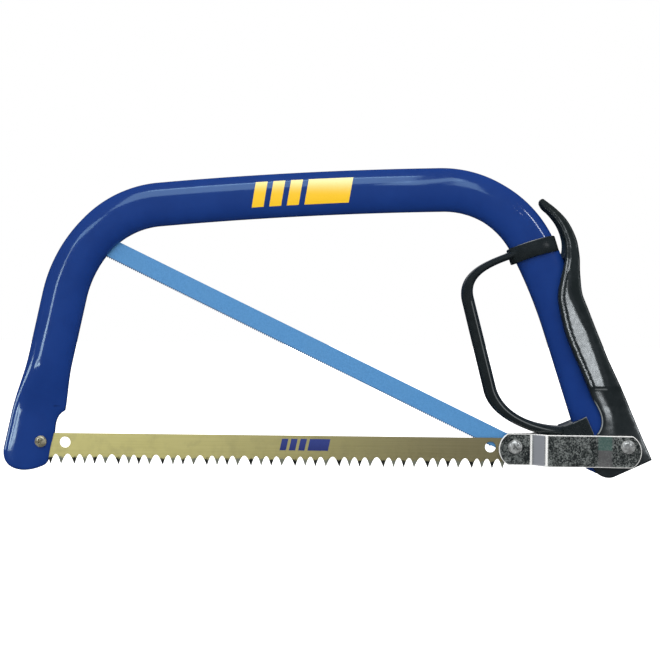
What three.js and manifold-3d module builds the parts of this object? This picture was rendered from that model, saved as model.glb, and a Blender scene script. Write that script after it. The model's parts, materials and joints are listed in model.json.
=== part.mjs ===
// Combination bow saw and hacksaw with a 300 mm throat, in millimetres.
// The pieces are drawn about the front blade screw: +X runs along the blade to the hand, +Z is
// up (the bow) and Y is across the saw, with the blades near Y = 0. The last step centres them.
import * as THREE from 'three';
import { mergeVertices } from 'three/addons/utils/BufferGeometryUtils.js';
import { ParametricGeometry } from 'three/addons/geometries/ParametricGeometry.js';
import Module from 'manifold-3d';

const wasm = await Module();
wasm.setup();

// ---------------------------------------------------------------- driving dimensions

const BLADE_SPAN = 300;          // between the two blade screws, a 12 inch blade
const TUBE_WIDTH = 27.7;         // flat-oval bow tube, in the plane of the saw
const BENT_WIDTH = 26.7;         // the same, drawn in where the tube is bent
const TUBE_DEPTH = 13;           // the same tube, across the saw
const TUBE_WALL = 1.2;
const TUBE_POWER = 2.6;          // roundness of the oval: 2 is an ellipse, more is squarer
const FLAT_WIDTH = 33.4;         // the pressed-flat front end
const FLAT_DEPTH = 5.4;
const FLAT_WALL = 1.5;
const MOUTH_HALF = 1.3;          // half the gap that takes the blade in the flat end
const FRONT_HEADING = 78.1;      // degrees above +X of the front leg, walking up
const REAR_HEADING = -72.1;      // the same for the rear leg, walking down
const FRONT_SCREW = { x: 0, z: 0 };
const LINK_SCREW = { x: BLADE_SPAN, z: 0 };
const FULCRUM = { x: 358.1, z: -7.8 };
const LINK_PIVOT = { x: 368.8, z: 1.6 };

const WOOD_BLADE = { top: 5.2, root: -8.9, tip: -14, near: -1.0, far: -0.1, end: 8, lastTip: 292.8 };
const HACK_BLADE = { back: 5.4, edge: 6.5, near: 0.25, far: 0.9, slope: 25.6, end: 5.8 };
const BLADE_HOLE = 3.45;         // radius
const SLOT_RADIUS = 3.8;         // the loose blade eyes at the link screw
const SLOT_BACK = 3.9;
const SLOT_FORWARD = 4.2;

const PLATE_THICKNESS = 2;
const PLATE_BLADE_Y = 1.3;       // inner face beside the blades
const PLATE_FRAME_Y = 9;         // inner face beside the frame
const PLATE_LEVER_Y = 10;        // inner face beside the lever
const CHEEK_INNER = 7;
const CHEEK_OUTER = 8.7;
const GRIP_HALF = 11.2;          // half width of the lever's hand grip
const GUARD_HALF = 7;            // half width of the knuckle guard's bar
const FIT = 0.3;                 // gap between a moulding and what it holds
const RUNNING = 0.1;             // radial gap of a pin in the hole it turns in
const CLEARANCE = 0.2;           // radial gap of a screw in its hole

const PIN_RADIUS = 3;            // fulcrum pin
const RIVET_RADIUS = 2.3;
const SCREW_RADIUS = 2;
const TAPPING_RADIUS = 1.5;

const radians = THREE.MathUtils.degToRad;

// ---------------------------------------------------------------- solids from geometry

// A closed geometry as a solid that can be joined and cut.
function solid(geometry) {
  geometry.deleteAttribute('normal');
  geometry.deleteAttribute('uv');
  const merged = mergeVertices(geometry, 1e-4);
  const corners = merged.index.array;
  const kept = [];
  for (let i = 0; i < corners.length; i += 3) {
    const [a, b, c] = corners.subarray(i, i + 3);
    if (a !== b && b !== c && c !== a) kept.push(a, b, c);
  }
  return new wasm.Manifold(new wasm.Mesh({
    numProp: 3,
    vertProperties: new Float32Array(merged.attributes.position.array),
    triVerts: new Uint32Array(kept),
  }));
}

// A flat plate drawn in (x, z) that fills the depth from near to far along Y.
function plate(shape, near, far, curveSegments) {
  const depth = far - near;
  const geometry = new THREE.ExtrudeGeometry(shape, { depth, bevelEnabled: false, curveSegments });
  geometry.rotateX(Math.PI / 2);
  geometry.translate(0, far, 0);
  return geometry;
}

function slab(shape, near, far, curveSegments = 12) {
  return solid(plate(shape, near, far, curveSegments));
}

// The same with its local +x turned to a heading and its local origin set at a point.
function placedSlab(shape, near, far, origin, heading, curveSegments = 12) {
  const geometry = plate(shape, near, far, curveSegments);
  geometry.rotateY(-radians(heading));
  geometry.translate(origin.x, 0, origin.z);
  return solid(geometry);
}

// A round bar along Y.
function bar(centre, radius, near, far, sides = 24) {
  const geometry = new THREE.CylinderGeometry(radius, radius, far - near, sides);
  geometry.translate(centre.x, (near + far) / 2, centre.z);
  return solid(geometry);
}

// A piece turned about a Y axis; the profile is [radius, y] pairs from near to far.
function turned(centre, profile, sides = 24) {
  const points = profile.map(([radius, y]) => new THREE.Vector2(radius, y));
  const geometry = new THREE.LatheGeometry(points, sides);
  geometry.translate(centre.x, 0, centre.z);
  return solid(geometry);
}

function rectangle(x0, z0, x1, z1) {
  const shape = new THREE.Shape();
  shape.moveTo(x0, z0);
  shape.lineTo(x1, z0);
  shape.lineTo(x1, z1);
  shape.lineTo(x0, z1);
  return shape;
}

// A straight slot with round ends, lying along the local x axis.
function slotShape(x0, x1, radius) {
  const shape = new THREE.Shape();
  shape.absarc(x1, 0, radius, -Math.PI / 2, Math.PI / 2, false);
  shape.absarc(x0, 0, radius, Math.PI / 2, (3 * Math.PI) / 2, false);
  return shape;
}

// ---------------------------------------------------------------- the bow's centre line

// Walks a planar path and keeps its stations: a point, a heading in degrees and the distance.
class Walk {
  constructor(x, z, heading) {
    this.stations = [{ x, z, heading, distance: 0, squeeze: 0 }];
  }

  get here() {
    return this.stations.at(-1);
  }

  straight(length, steps = 1) {
    const { x, z, heading, distance } = this.here;
    for (let i = 1; i <= steps; i++) {
      const gone = (length * i) / steps;
      this.stations.push({
        x: x + gone * Math.cos(radians(heading)),
        z: z + gone * Math.sin(radians(heading)),
        heading,
        distance: distance + gone,
        squeeze: 0,
      });
    }
    return this;
  }

  // A clockwise bend; squeeze says how far the tube is drawn in by its end, from 0 to 1.
  turn(radius, angle, steps, squeezeEnd = 0) {
    const { x, z, heading, distance, squeeze } = this.here;
    const cx = x + radius * Math.sin(radians(heading));
    const cz = z - radius * Math.cos(radians(heading));
    for (let i = 1; i <= steps; i++) {
      const gone = (angle * i) / steps;
      const now = heading - gone;
      this.stations.push({
        x: cx - radius * Math.sin(radians(now)),
        z: cz + radius * Math.cos(radians(now)),
        heading: now,
        distance: distance + radius * radians(gone),
        squeeze: THREE.MathUtils.lerp(squeeze, squeezeEnd, i / steps),
      });
    }
    return this;
  }
}

const LEG_START = { x: -12.5, z: -30 };    // below the front end, which is cut to its outline
const FRONT_LEG = { flat: 50, press: 36, plain: 39.3 };   // lengths along the front leg
const REAR_LEG = 94.6;
const FRONT_BENDS = [{ radius: 81.6, angle: 32 }, { radius: 61.9, angle: 40.4 }];
const CROWN = { radius: 2450, angle: 4.2 };   // the top bar is very slightly arched
const REAR_BEND = { radius: 63, angle: 31.75 };
const REAR_SWEEP = { radius: 320, angle: FRONT_HEADING - REAR_HEADING - 140.1 };

// The whole centre line; the front leg has a station every few millimetres of its press.
function bowPath(overrun) {
  const walk = new Walk(LEG_START.x, LEG_START.z, FRONT_HEADING);
  return walk
    .straight(FRONT_LEG.flat, 3)
    .straight(FRONT_LEG.press, 6)
    .straight(FRONT_LEG.plain, 1)
    .turn(FRONT_BENDS[0].radius, FRONT_BENDS[0].angle, 6, 1)
    .turn(FRONT_BENDS[1].radius, FRONT_BENDS[1].angle, 7, 0)
    .turn(CROWN.radius, CROWN.angle, 4)
    .turn(REAR_BEND.radius, REAR_BEND.angle, 6, 1)
    .turn(REAR_BEND.radius, REAR_BEND.angle, 6, 0)
    .turn(REAR_SWEEP.radius, REAR_SWEEP.angle, 3)
    .straight(REAR_LEG + overrun, 1)
    .stations;
}

// Part of a superellipse's width at an angle.
function oval(cosine, power) {
  return Math.sign(cosine) * Math.abs(cosine) ** (2 / power);
}

// A closed skin over oval sections; each section has a place, a heading and two half sizes.
function loft(sections, sides) {
  const rows = [sections[0], ...sections, sections.at(-1)];
  const last = rows.length - 1;
  const surface = (u, v, target) => {
    const row = Math.round(v * last);
    const { x, z, heading, halfWidth, halfDepth } = rows[row];
    const open = row > 0 && row < last ? 1 : 0;
    const angle = -2 * Math.PI * (u === 1 ? 0 : u);
    const across = open * halfWidth * oval(Math.cos(angle), TUBE_POWER);
    const deep = open * halfDepth * oval(Math.sin(angle), TUBE_POWER);
    target.set(
      x - across * Math.sin(radians(heading)),
      deep,
      z + across * Math.cos(radians(heading)),
    );
  };
  return solid(new ParametricGeometry(surface, sides, last));
}

const PRESS_START = 46;          // distance along the leg where the flat end begins to swell
const PRESS_END = 84;

// How far the press has gone at a distance along the leg: 1 is flat, 0 is the plain tube.
function pressed(distance) {
  return 1 - THREE.MathUtils.smoothstep(distance, PRESS_START, PRESS_END);
}

// The oval sections of the bow, grown outward by an allowance (negative for the bore).
function bowSections(stations, allowance, flatAllowance = allowance) {
  return stations.map((station) => {
    const flat = pressed(station.distance);
    const grow = THREE.MathUtils.lerp(allowance, flatAllowance, flat);
    const width = THREE.MathUtils.lerp(TUBE_WIDTH, BENT_WIDTH, station.squeeze);
    return {
      ...station,
      halfWidth: THREE.MathUtils.lerp(width, FLAT_WIDTH, flat) / 2 + grow,
      halfDepth: THREE.MathUtils.lerp(TUBE_DEPTH, FLAT_DEPTH, flat) / 2 + grow,
    };
  });
}

// The rear half of the bow, for cutting clearance in the mouldings that hold it.
function rearTube(allowance) {
  const stations = bowPath(20);
  return loft(bowSections(stations.slice(-12), allowance), 24);
}

// ---------------------------------------------------------------- the frame

// What is cut off the front end: everything outside its rounded outline and throat notch.
function frontTrim() {
  const keep = new THREE.Shape();
  keep.moveTo(-40, 40);
  keep.lineTo(-40, -8);
  keep.lineTo(-24.4, -8);
  keep.bezierCurveTo(-24, -14.6, -18.6, -18.6, -11.6, -18.6);
  keep.bezierCurveTo(-6, -18.6, -2, -17.2, 1.5, -15.7);
  keep.quadraticCurveTo(5.1, -13.6, 5.4, -7.5);
  keep.lineTo(8.5, 6.3);
  keep.bezierCurveTo(8.6, 13, 10.6, 18, 15, 19.2);
  keep.lineTo(30, 19.6);
  keep.lineTo(30, 40);
  return slab(rectangle(-45, -60, 35, 39), -10, 10).subtract(slab(keep, -12, 12, 8));
}

// What is cut off the rear end, which is a half ellipse about the fulcrum.
function rearTrim() {
  const half = TUBE_WIDTH / 2;
  const depth = 6.5;
  const keep = new THREE.Shape();
  keep.moveTo(-5, -half - 2);
  keep.lineTo(0, -half - 2);
  keep.lineTo(0, -half);
  keep.absellipse(0, 0, depth, half, -Math.PI / 2, Math.PI / 2, false, 0);
  keep.lineTo(0, half + 2);
  keep.lineTo(-5, half + 2);
  const block = placedSlab(rectangle(-4, -half - 4, 60, half + 4), -9, 9, FULCRUM, REAR_HEADING);
  return block.subtract(placedSlab(keep, -10, 10, FULCRUM, REAR_HEADING, 10));
}

// The point that holds the hacksaw blade, inside the front corner of the bow.
const ANCHOR = {
  x: BLADE_SPAN * (1 - Math.cos(radians(HACK_BLADE.slope))),
  z: BLADE_SPAN * Math.sin(radians(HACK_BLADE.slope)),
};
const GUARD_SCREWS = { band: { x: 310.5, z: 123.6 }, saddle: { x: 341.5, z: 12 } };

function frameTube() {
  const stations = bowPath(0);
  const bore = bowPath(10);
  bore[0] = { ...new Walk(LEG_START.x, LEG_START.z, FRONT_HEADING).straight(-5).here, distance: 0 };
  const skin = loft(bowSections(stations, 0), 28);
  const inside = loft(bowSections(bore, -TUBE_WALL, -FLAT_WALL), 24);
  const bladeSlot = placedSlab(
    rectangle(-9, -HACK_BLADE.edge - 0.8, 60, HACK_BLADE.back + 0.8),
    HACK_BLADE.near - 0.8,
    HACK_BLADE.far + 0.8,
    ANCHOR,
    -HACK_BLADE.slope,
  );
  const mouth = slab(rectangle(-WOOD_BLADE.end - 1.5, -40, 30, 22.5), -MOUTH_HALF, MOUTH_HALF);
  return skin
    .subtract(inside)
    .subtract(mouth)
    .subtract(frontTrim())
    .subtract(rearTrim())
    .subtract(bladeSlot)
    .subtract(bar(FRONT_SCREW, SCREW_RADIUS + CLEARANCE, -10, 10))
    .subtract(bar(FULCRUM, PIN_RADIUS + RUNNING, -10, 10))
    .subtract(bar(GUARD_SCREWS.band, TAPPING_RADIUS + CLEARANCE, 0, 10, 12))
    .subtract(bar(GUARD_SCREWS.saddle, TAPPING_RADIUS + CLEARANCE, 0, 10, 12));
}

// A cross recess for a screwdriver, cut into a head that faces -Y.
function crossRecess(centre, headY, depth, reach) {
  const arm = rectangle(centre.x - reach, centre.z - 0.45, centre.x + reach, centre.z + 0.45);
  const post = rectangle(centre.x - 0.45, centre.z - reach, centre.x + 0.45, centre.z + reach);
  return slab(arm, headY - 1, headY + depth).add(slab(post, headY - 1, headY + depth));
}

// A domed pan-head screw with its head on the near side and its tail on the far side.
function panScrew(centre, { head, headRadius, seat, tail, radius }) {
  const body = turned(centre, [
    [0, seat - head],
    [headRadius * 0.55, seat - head * 0.94],
    [headRadius * 0.85, seat - head * 0.68],
    [headRadius, seat - head * 0.22],
    [headRadius, seat],
    [radius, seat],
    [radius, tail],
    [0, tail],
  ]);
  return body.subtract(crossRecess(centre, seat - head, head * 0.75, headRadius * 0.48));
}

// A hexagon nut on a screw of the given radius.
function nut(centre, radius, acrossFlats, near, far) {
  const outer = bar(centre, acrossFlats / Math.sqrt(3), near, far, 6);
  return outer.subtract(bar(centre, radius + 0.1, near - 1, far + 1));
}

// A self-tapping screw with its head on the far side.
function tappingScrew(centre, seat) {
  return turned(centre, [
    [0, seat - 6.5],
    [TAPPING_RADIUS, seat - 4.5],
    [TAPPING_RADIUS, seat],
    [3.1, seat],
    [3.1, seat + 0.7],
    [2.2, seat + 1.6],
    [0, seat + 1.9],
  ], 16);
}

// The bracket welded inside the front corner: two ears on a web, open toward the blade.
function anchorBracket() {
  const heading = -HACK_BLADE.slope;
  const ear = rectangle(-7, -3.1, 4.6, 3.1);
  const near = placedSlab(ear, -3, -1.6, ANCHOR, heading);
  const far = placedSlab(ear, 2.2, 3.6, ANCHOR, heading);
  const web = placedSlab(rectangle(-7.3, -3.1, -6.1, 3.1), -3, 3.6, ANCHOR, heading);
  return near.add(far).add(web).subtract(bar(ANCHOR, 2.7, -6, 6));
}

function anchorPin() {
  return bar(ANCHOR, 2.5, -3.4, 4);
}

function fulcrumPin() {
  const flare = 1.2;
  return turned(FULCRUM, [
    [0, -CHEEK_OUTER + 0.1],
    [PIN_RADIUS + flare, -CHEEK_OUTER + 0.1],
    [PIN_RADIUS, -CHEEK_OUTER + 0.1 + flare],
    [PIN_RADIUS, CHEEK_OUTER - 0.1 - flare],
    [PIN_RADIUS + flare, CHEEK_OUTER - 0.1],
    [0, CHEEK_OUTER - 0.1],
  ]);
}

function fulcrumBush() {
  const half = TUBE_DEPTH / 2 - TUBE_WALL - 0.4;
  return bar(FULCRUM, 4.5, -half, half).subtract(bar(FULCRUM, PIN_RADIUS + RUNNING, -8, 8));
}

// ---------------------------------------------------------------- the blades

const TOOTH_GROUP = 28.03;                      // four teeth, then one wide gullet
const TOOTH_STEPS = [0, 6.4, 12.8, 19.4];       // tips inside a group
const FIRST_GROUP = -7.1;
const SPARE_HOLES = [{ x: 14.8, z: -0.6 }, { x: 284.9, z: -0.6 }];

// The toothed lower edge, from the right end to the left, with arched gullets.
function toothEdge(shape, left, right) {
  const tips = [];
  for (let start = FIRST_GROUP; start < right; start += TOOTH_GROUP) {
    TOOTH_STEPS.forEach((step) => tips.push(start + step));
  }
  const inside = tips.filter((x) => x > left + 2 && x < WOOD_BLADE.lastTip).reverse();
  const { root, tip } = WOOD_BLADE;
  shape.lineTo(right, root);
  shape.lineTo(inside[0] + 1.6, root);
  const shoulder = tip + 0.62 * (root - tip);
  inside.slice(0, -1).forEach((x, i) => {
    const next = inside[i + 1];
    shape.lineTo(x, tip);
    shape.lineTo(x - 1.1, shoulder);
    shape.quadraticCurveTo(x - 1.7, root + 0.6, (x + next) / 2, root + 0.6);
    shape.quadraticCurveTo(next + 1.7, root + 0.6, next + 1.1, shoulder);
  });
  shape.lineTo(inside.at(-1), tip);
  shape.lineTo(inside.at(-1) - 1.6, root);
  shape.lineTo(left, root);
}

function woodBlade() {
  const left = -WOOD_BLADE.end;
  const right = BLADE_SPAN + SLOT_FORWARD + SLOT_RADIUS + 2;
  const shape = new THREE.Shape();
  shape.moveTo(left, WOOD_BLADE.top);
  shape.lineTo(right, WOOD_BLADE.top);
  toothEdge(shape, left, right);
  const { near, far } = WOOD_BLADE;
  const eye = slotShape(BLADE_SPAN - SLOT_BACK, BLADE_SPAN + SLOT_FORWARD, SLOT_RADIUS);
  const holes = [FRONT_SCREW, ...SPARE_HOLES].map((at) => bar(at, BLADE_HOLE, near - 1, far + 1));
  return slab(shape, near, far, 3)
    .subtract(wasm.Manifold.union(holes))
    .subtract(slab(eye, near - 1, far + 1));
}

// The hacksaw blade, drawn along its own axis from the anchor pin.
function hacksawBlade() {
  const { back, edge, near, far, end, slope } = HACK_BLADE;
  const gullet = -edge + 0.6;
  const right = BLADE_SPAN + SLOT_FORWARD + SLOT_RADIUS + 2;
  const toothed = new THREE.Shape();
  const pitch = 3;
  toothed.moveTo(-end, back);
  toothed.lineTo(-end, gullet);
  for (let x = 14; x < BLADE_SPAN - 14; x += pitch) {
    toothed.lineTo(x, gullet);
    toothed.lineTo(x + pitch * 0.8, -edge);
  }
  toothed.lineTo(right, gullet);
  toothed.lineTo(right, back);
  const eye = slotShape(BLADE_SPAN - SLOT_BACK, BLADE_SPAN + SLOT_FORWARD, SLOT_RADIUS);
  return placedSlab(toothed, near, far, ANCHOR, -slope)
    .subtract(bar(ANCHOR, 2.7, near - 1, far + 1))
    .subtract(placedSlab(eye, near - 1, far + 1, ANCHOR, -slope));
}

// ---------------------------------------------------------------- the links

const PLATE = {
  left: 290,
  right: 377.5,
  top: 8.3,
  bottom: -11.6,
  endRadius: 11.5,
  joggle: [310, 318.4],
  step: [350.4, 359.7],
};

// The face outline of a link plate: a bar with bowed ends.
function plateOutline() {
  const { left, right, top, bottom, endRadius } = PLATE;
  const half = (top - bottom) / 2;
  const middle = (top + bottom) / 2;
  const sweep = Math.asin(half / endRadius);
  const shape = new THREE.Shape();
  shape.absarc(left + endRadius, middle, endRadius, Math.PI - sweep, Math.PI + sweep, false);
  shape.absarc(right - endRadius, middle, endRadius, -sweep, sweep, false);
  return shape;
}

// The edge-on outline of the far plate, in (x, y): flat, joggled out, then stepped out again.
function plateSide() {
  const t = PLATE_THICKNESS;
  const { left, right, joggle, step } = PLATE;
  const inner = [
    [left - 2, PLATE_BLADE_Y],
    [joggle[0], PLATE_BLADE_Y],
    [joggle[1], PLATE_FRAME_Y],
    [step[0], PLATE_FRAME_Y],
    [step[1], PLATE_LEVER_Y],
    [right + 2, PLATE_LEVER_Y],
  ];
  const bend = [0, 0.8, 0.8, 0.8, 0, 0];      // keeps the sheet's thickness round the bends
  const outer = inner.map(([x, y], i) => [x - bend[i], y + t]).reverse();
  const shape = new THREE.Shape();
  [...inner, ...outer].forEach(([x, y], i) => (i ? shape.lineTo(x, y) : shape.moveTo(x, y)));
  const geometry = new THREE.ExtrudeGeometry(shape, { depth: 40, bevelEnabled: false });
  geometry.translate(0, 0, -20);
  return solid(geometry);
}

function farPlate() {
  const holes = bar(LINK_SCREW, SCREW_RADIUS + CLEARANCE, 0, 20)
    .add(bar(LINK_PIVOT, RIVET_RADIUS + RUNNING, 0, 20));
  return plateSide()
    .intersect(slab(plateOutline(), 0, 20, 8))
    .subtract(holes);
}

// A shape reflected across the plane of the saw.
function mirrored(shape) {
  const { vertProperties, triVerts } = shape.getMesh();
  const flipped = vertProperties.map((value, i) => (i % 3 === 1 ? -value : value));
  const turnedFaces = triVerts.slice().reverse();
  return new wasm.Manifold(new wasm.Mesh({
    numProp: 3,
    vertProperties: flipped,
    triVerts: turnedFaces,
  }));
}

// A rivet through the far plate, its washer and the lever's far cheek, set flush inside.
function farRivet() {
  const seat = PLATE_LEVER_Y + PLATE_THICKNESS + 0.05;
  const head = 2.3;
  const headRadius = 4.4;
  return turned(LINK_PIVOT, [
    [0, CHEEK_INNER + 0.1],
    [RIVET_RADIUS + 1, CHEEK_INNER + 0.1],
    [RIVET_RADIUS, CHEEK_INNER + 1.1],
    [RIVET_RADIUS, seat],
    [headRadius, seat],
    [headRadius * 0.92, seat + head * 0.4],
    [headRadius * 0.7, seat + head * 0.75],
    [headRadius * 0.35, seat + head * 0.96],
    [0, seat + head],
  ]);
}

function farWasher() {
  return bar(LINK_PIVOT, 5.5, CHEEK_OUTER + 0.1, PLATE_LEVER_Y - 0.1)
    .subtract(bar(LINK_PIVOT, RIVET_RADIUS + RUNNING, 0, 20));
}

// ---------------------------------------------------------------- the lever

// The lever's side outline: horn at the top, grip behind the tube, lug round the fulcrum.
function leverOutline() {
  const shape = new THREE.Shape();
  const lug = 10.6;
  shape.moveTo(FULCRUM.x - lug * Math.cos(radians(20)), FULCRUM.z + lug * Math.sin(radians(20)));
  shape.absarc(FULCRUM.x, FULCRUM.z, lug, radians(160), radians(285), false);
  shape.lineTo(385.2, -6.9);
  shape.lineTo(379.6, 5.6);
  shape.lineTo(368.6, 30.5);
  shape.lineTo(356.9, 55.6);
  shape.lineTo(341.6, 91.5);
  shape.splineThru([
    new THREE.Vector2(339.2, 98),
    new THREE.Vector2(338.5, 108),
    new THREE.Vector2(338.8, 120),
    new THREE.Vector2(337.9, 129.5),
    new THREE.Vector2(335, 137.5),
    new THREE.Vector2(330.5, 144.8),
    new THREE.Vector2(324, 151.3),
    new THREE.Vector2(317.4, 156.4),
  ]);
  shape.bezierCurveTo(315.8, 158.2, 314, 156.6, 314.3, 154.6);
  shape.splineThru([
    new THREE.Vector2(316, 150.8),
    new THREE.Vector2(320.1, 146.6),
    new THREE.Vector2(324.6, 140.3),
    new THREE.Vector2(327.6, 134),
    new THREE.Vector2(329, 127),
    new THREE.Vector2(328.6, 117.5),
    new THREE.Vector2(326.4, 105.4),
    new THREE.Vector2(325, 97),
    new THREE.Vector2(325.6, 89.5),
    new THREE.Vector2(330.2, 71),
    new THREE.Vector2(340.6, 46.7),
    new THREE.Vector2(347.4, 31),
  ]);
  shape.bezierCurveTo(351, 25, 357, 17, 350.4, 8.8);
  return shape;
}

// The lever seen from behind, in (y, z): slim horn, full grip, flat lower cheeks.
function leverWidth() {
  const shape = new THREE.Shape();
  const side = [
    [CHEEK_OUTER, -30],
    [CHEEK_OUTER, 14],
    [CHEEK_OUTER + 0.5, 30],
    [GRIP_HALF, 40],
    [GRIP_HALF, 88],
    [GRIP_HALF - 1, 104],
    [GRIP_HALF - 2, 120],
    [GRIP_HALF - 3, 140],
    [GRIP_HALF - 4.4, 152],
    [GRIP_HALF - 7.4, 159],
  ];
  side.forEach(([y, z], i) => (i ? shape.lineTo(y, z) : shape.moveTo(y, z)));
  side.reverse().forEach(([y, z]) => shape.lineTo(-y, z));
  const geometry = new THREE.ExtrudeGeometry(shape, { depth: 100, bevelEnabled: false });
  geometry.rotateX(Math.PI / 2);
  geometry.rotateZ(Math.PI / 2);
  geometry.translate(300, 0, 0);
  return solid(geometry);
}

// The channel that swallows the tube, and the round room its end needs when the lever opens.
function leverChannel() {
  const half = TUBE_WIDTH / 2 + 0.5;
  const shape = new THREE.Shape();
  shape.moveTo(250, -90);
  shape.lineTo(250, 170);
  bowPath(60).slice(-8).forEach(({ x, z, heading }) => {
    shape.lineTo(x - half * Math.sin(radians(heading)), z + half * Math.cos(radians(heading)));
  });
  return slab(shape, -CHEEK_INNER, CHEEK_INNER)
    .add(bar(FULCRUM, half, -CHEEK_INNER, CHEEK_INNER, 32));
}

// A pin hole through one or both cheeks, flared for a flush head at the given outer face.
function flaredHole(centre, radius, small, wide) {
  const flare = 1.3;
  const reach = Math.sign(wide - small) * flare;
  const profile = [
    [0, Math.min(small, wide + reach)],
    [radius, Math.min(small, wide + reach)],
    [radius, wide - reach],
    [radius + flare, wide],
    [radius + flare, wide + reach],
    [0, wide + reach],
  ];
  if (wide > small) return turned(centre, profile);
  profile[0][1] = small;
  profile[1][1] = small;
  return turned(centre, profile.reverse());
}

function lever() {
  const through = CHEEK_INNER - 1;
  return slab(leverOutline(), -GRIP_HALF - 1, GRIP_HALF + 1, 10)
    .intersect(leverWidth())
    .subtract(leverChannel())
    .subtract(flaredHole(FULCRUM, PIN_RADIUS + RUNNING, through, CHEEK_OUTER))
    .subtract(flaredHole(FULCRUM, PIN_RADIUS + RUNNING, -through, -CHEEK_OUTER))
    .subtract(flaredHole(LINK_PIVOT, RIVET_RADIUS + RUNNING, CHEEK_OUTER + 1, CHEEK_INNER))
    .subtract(flaredHole(LINK_PIVOT, RIVET_RADIUS + RUNNING, -CHEEK_OUTER - 1, -CHEEK_INNER));
}

// ---------------------------------------------------------------- the knuckle guard

// The guard's bar: from the band, down in front of the knuckles and back under the hand.
function guardBar() {
  const shape = new THREE.Shape();
  shape.moveTo(298, 125);
  shape.lineTo(292.9, 122.2);
  shape.bezierCurveTo(279.4, 117, 262.8, 110, 265.8, 92.8);
  shape.lineTo(280, 36.6);
  shape.bezierCurveTo(283.2, 20.6, 303, 11.6, 326, 6);
  shape.lineTo(338, 3.4);
  shape.lineTo(338, 17);
  shape.bezierCurveTo(331, 13.6, 322, 13.2, 311.9, 15.6);
  shape.bezierCurveTo(300, 19, 290.6, 26, 287.4, 36.7);
  shape.lineTo(272, 95.7);
  shape.bezierCurveTo(270.2, 107, 279.3, 112.8, 296, 118.6);
  return slab(shape, -GUARD_HALF, GUARD_HALF, 8);
}

// The saddle: the cheeks that hold the sides of the tube above the fulcrum.
function guardSaddle() {
  const shape = new THREE.Shape();
  shape.moveTo(329, 7.2);
  shape.lineTo(345.4, 3);
  shape.lineTo(348.6, 9.1);
  shape.lineTo(343.8, 19.9);
  shape.quadraticCurveTo(337, 18.4, 331, 15);
  return slab(shape, -CHEEK_OUTER, CHEEK_OUTER, 6);
}

const BAND = { centre: { x: 309.9, z: 123.6 }, halfWidth: 16.3, halfDepth: 8.9, height: 10.2 };

// The band that wraps the tube.
function guardBand() {
  const { centre, halfWidth, halfDepth, height } = BAND;
  const top = new Walk(centre.x, centre.z, REAR_HEADING).straight(-height / 2).here;
  const bottom = new Walk(centre.x, centre.z, REAR_HEADING).straight(height / 2).here;
  const sections = [top, bottom].map((place) => ({ ...place, halfWidth, halfDepth }));
  return loft(sections, 28);
}

function knuckleGuard() {
  return guardBar()
    .add(guardSaddle())
    .add(guardBand())
    .subtract(rearTube(FIT))
    .subtract(bar(GUARD_SCREWS.band, TAPPING_RADIUS + CLEARANCE, 0, 12, 12))
    .subtract(bar(GUARD_SCREWS.saddle, TAPPING_RADIUS + CLEARANCE, 0, 12, 12));
}

// ---------------------------------------------------------------- the assembly

const FINISHES = {
  powderCoat: { color: 0x1a397a, roughness: 0.25, metalness: 0.1 },
  goldLacquer: { color: 0xb3a75e, roughness: 0.4, metalness: 0.7 },
  bluePaint: { color: 0x5291c8, roughness: 0.45, metalness: 0.1 },
  zincPlate: { color: 0x9a9c9a, roughness: 0.35, metalness: 1.0 },
  brightSteel: { color: 0xc9cac8, roughness: 0.25, metalness: 1.0 },
  blackMoulding: { color: 0x1c2022, roughness: 0.3, metalness: 0.0 },
};

const saw = new THREE.Group();

function piece(name, shape, finish) {
  const { vertProperties, triVerts } = shape.getMesh();
  const geometry = new THREE.BufferGeometry();
  geometry.setAttribute('position', new THREE.BufferAttribute(vertProperties, 3));
  geometry.setIndex(new THREE.BufferAttribute(triVerts, 1));
  geometry.computeVertexNormals();
  const mesh = new THREE.Mesh(geometry, new THREE.MeshStandardMaterial(FINISHES[finish]));
  mesh.name = name;
  saw.add(mesh);
}

const frontSeat = FLAT_DEPTH / 2 + 0.05;
const linkSeat = PLATE_BLADE_Y + PLATE_THICKNESS + 0.05;
const frontScrew = {
  head: 2, headRadius: 3.7, seat: -frontSeat, tail: frontSeat + 3.4, radius: SCREW_RADIUS,
};
const linkScrew = {
  head: 2.4, headRadius: 4.5, seat: -linkSeat, tail: linkSeat + 4.2, radius: SCREW_RADIUS,
};

piece('frame_tube', frameTube(), 'powderCoat');
piece('front_screw', panScrew(FRONT_SCREW, frontScrew), 'brightSteel');
piece('front_nut', nut(FRONT_SCREW, SCREW_RADIUS, 7, frontSeat, frontSeat + 3), 'zincPlate');
piece('anchor_bracket', anchorBracket(), 'zincPlate');
piece('anchor_pin', anchorPin(), 'brightSteel');
piece('fulcrum_pin', fulcrumPin(), 'brightSteel');
piece('fulcrum_bush', fulcrumBush(), 'zincPlate');
piece('knuckle_guard', knuckleGuard(), 'blackMoulding');
piece('guard_band_screw', tappingScrew(GUARD_SCREWS.band, BAND.halfDepth + 0.05), 'zincPlate');
piece('guard_saddle_screw', tappingScrew(GUARD_SCREWS.saddle, CHEEK_OUTER + 0.05), 'zincPlate');
piece('wood_blade', woodBlade(), 'goldLacquer');
piece('hacksaw_blade', hacksawBlade(), 'bluePaint');
piece('link_plate_far', farPlate(), 'zincPlate');
piece('link_plate_near', mirrored(farPlate()), 'zincPlate');
piece('link_screw', panScrew(LINK_SCREW, linkScrew), 'brightSteel');
piece('link_nut', nut(LINK_SCREW, SCREW_RADIUS, 7, linkSeat, linkSeat + 3.2), 'zincPlate');
piece('link_rivet_far', farRivet(), 'brightSteel');
piece('link_rivet_near', mirrored(farRivet()), 'brightSteel');
piece('link_washer_far', farWasher(), 'zincPlate');
piece('link_washer_near', mirrored(farWasher()), 'zincPlate');
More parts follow.
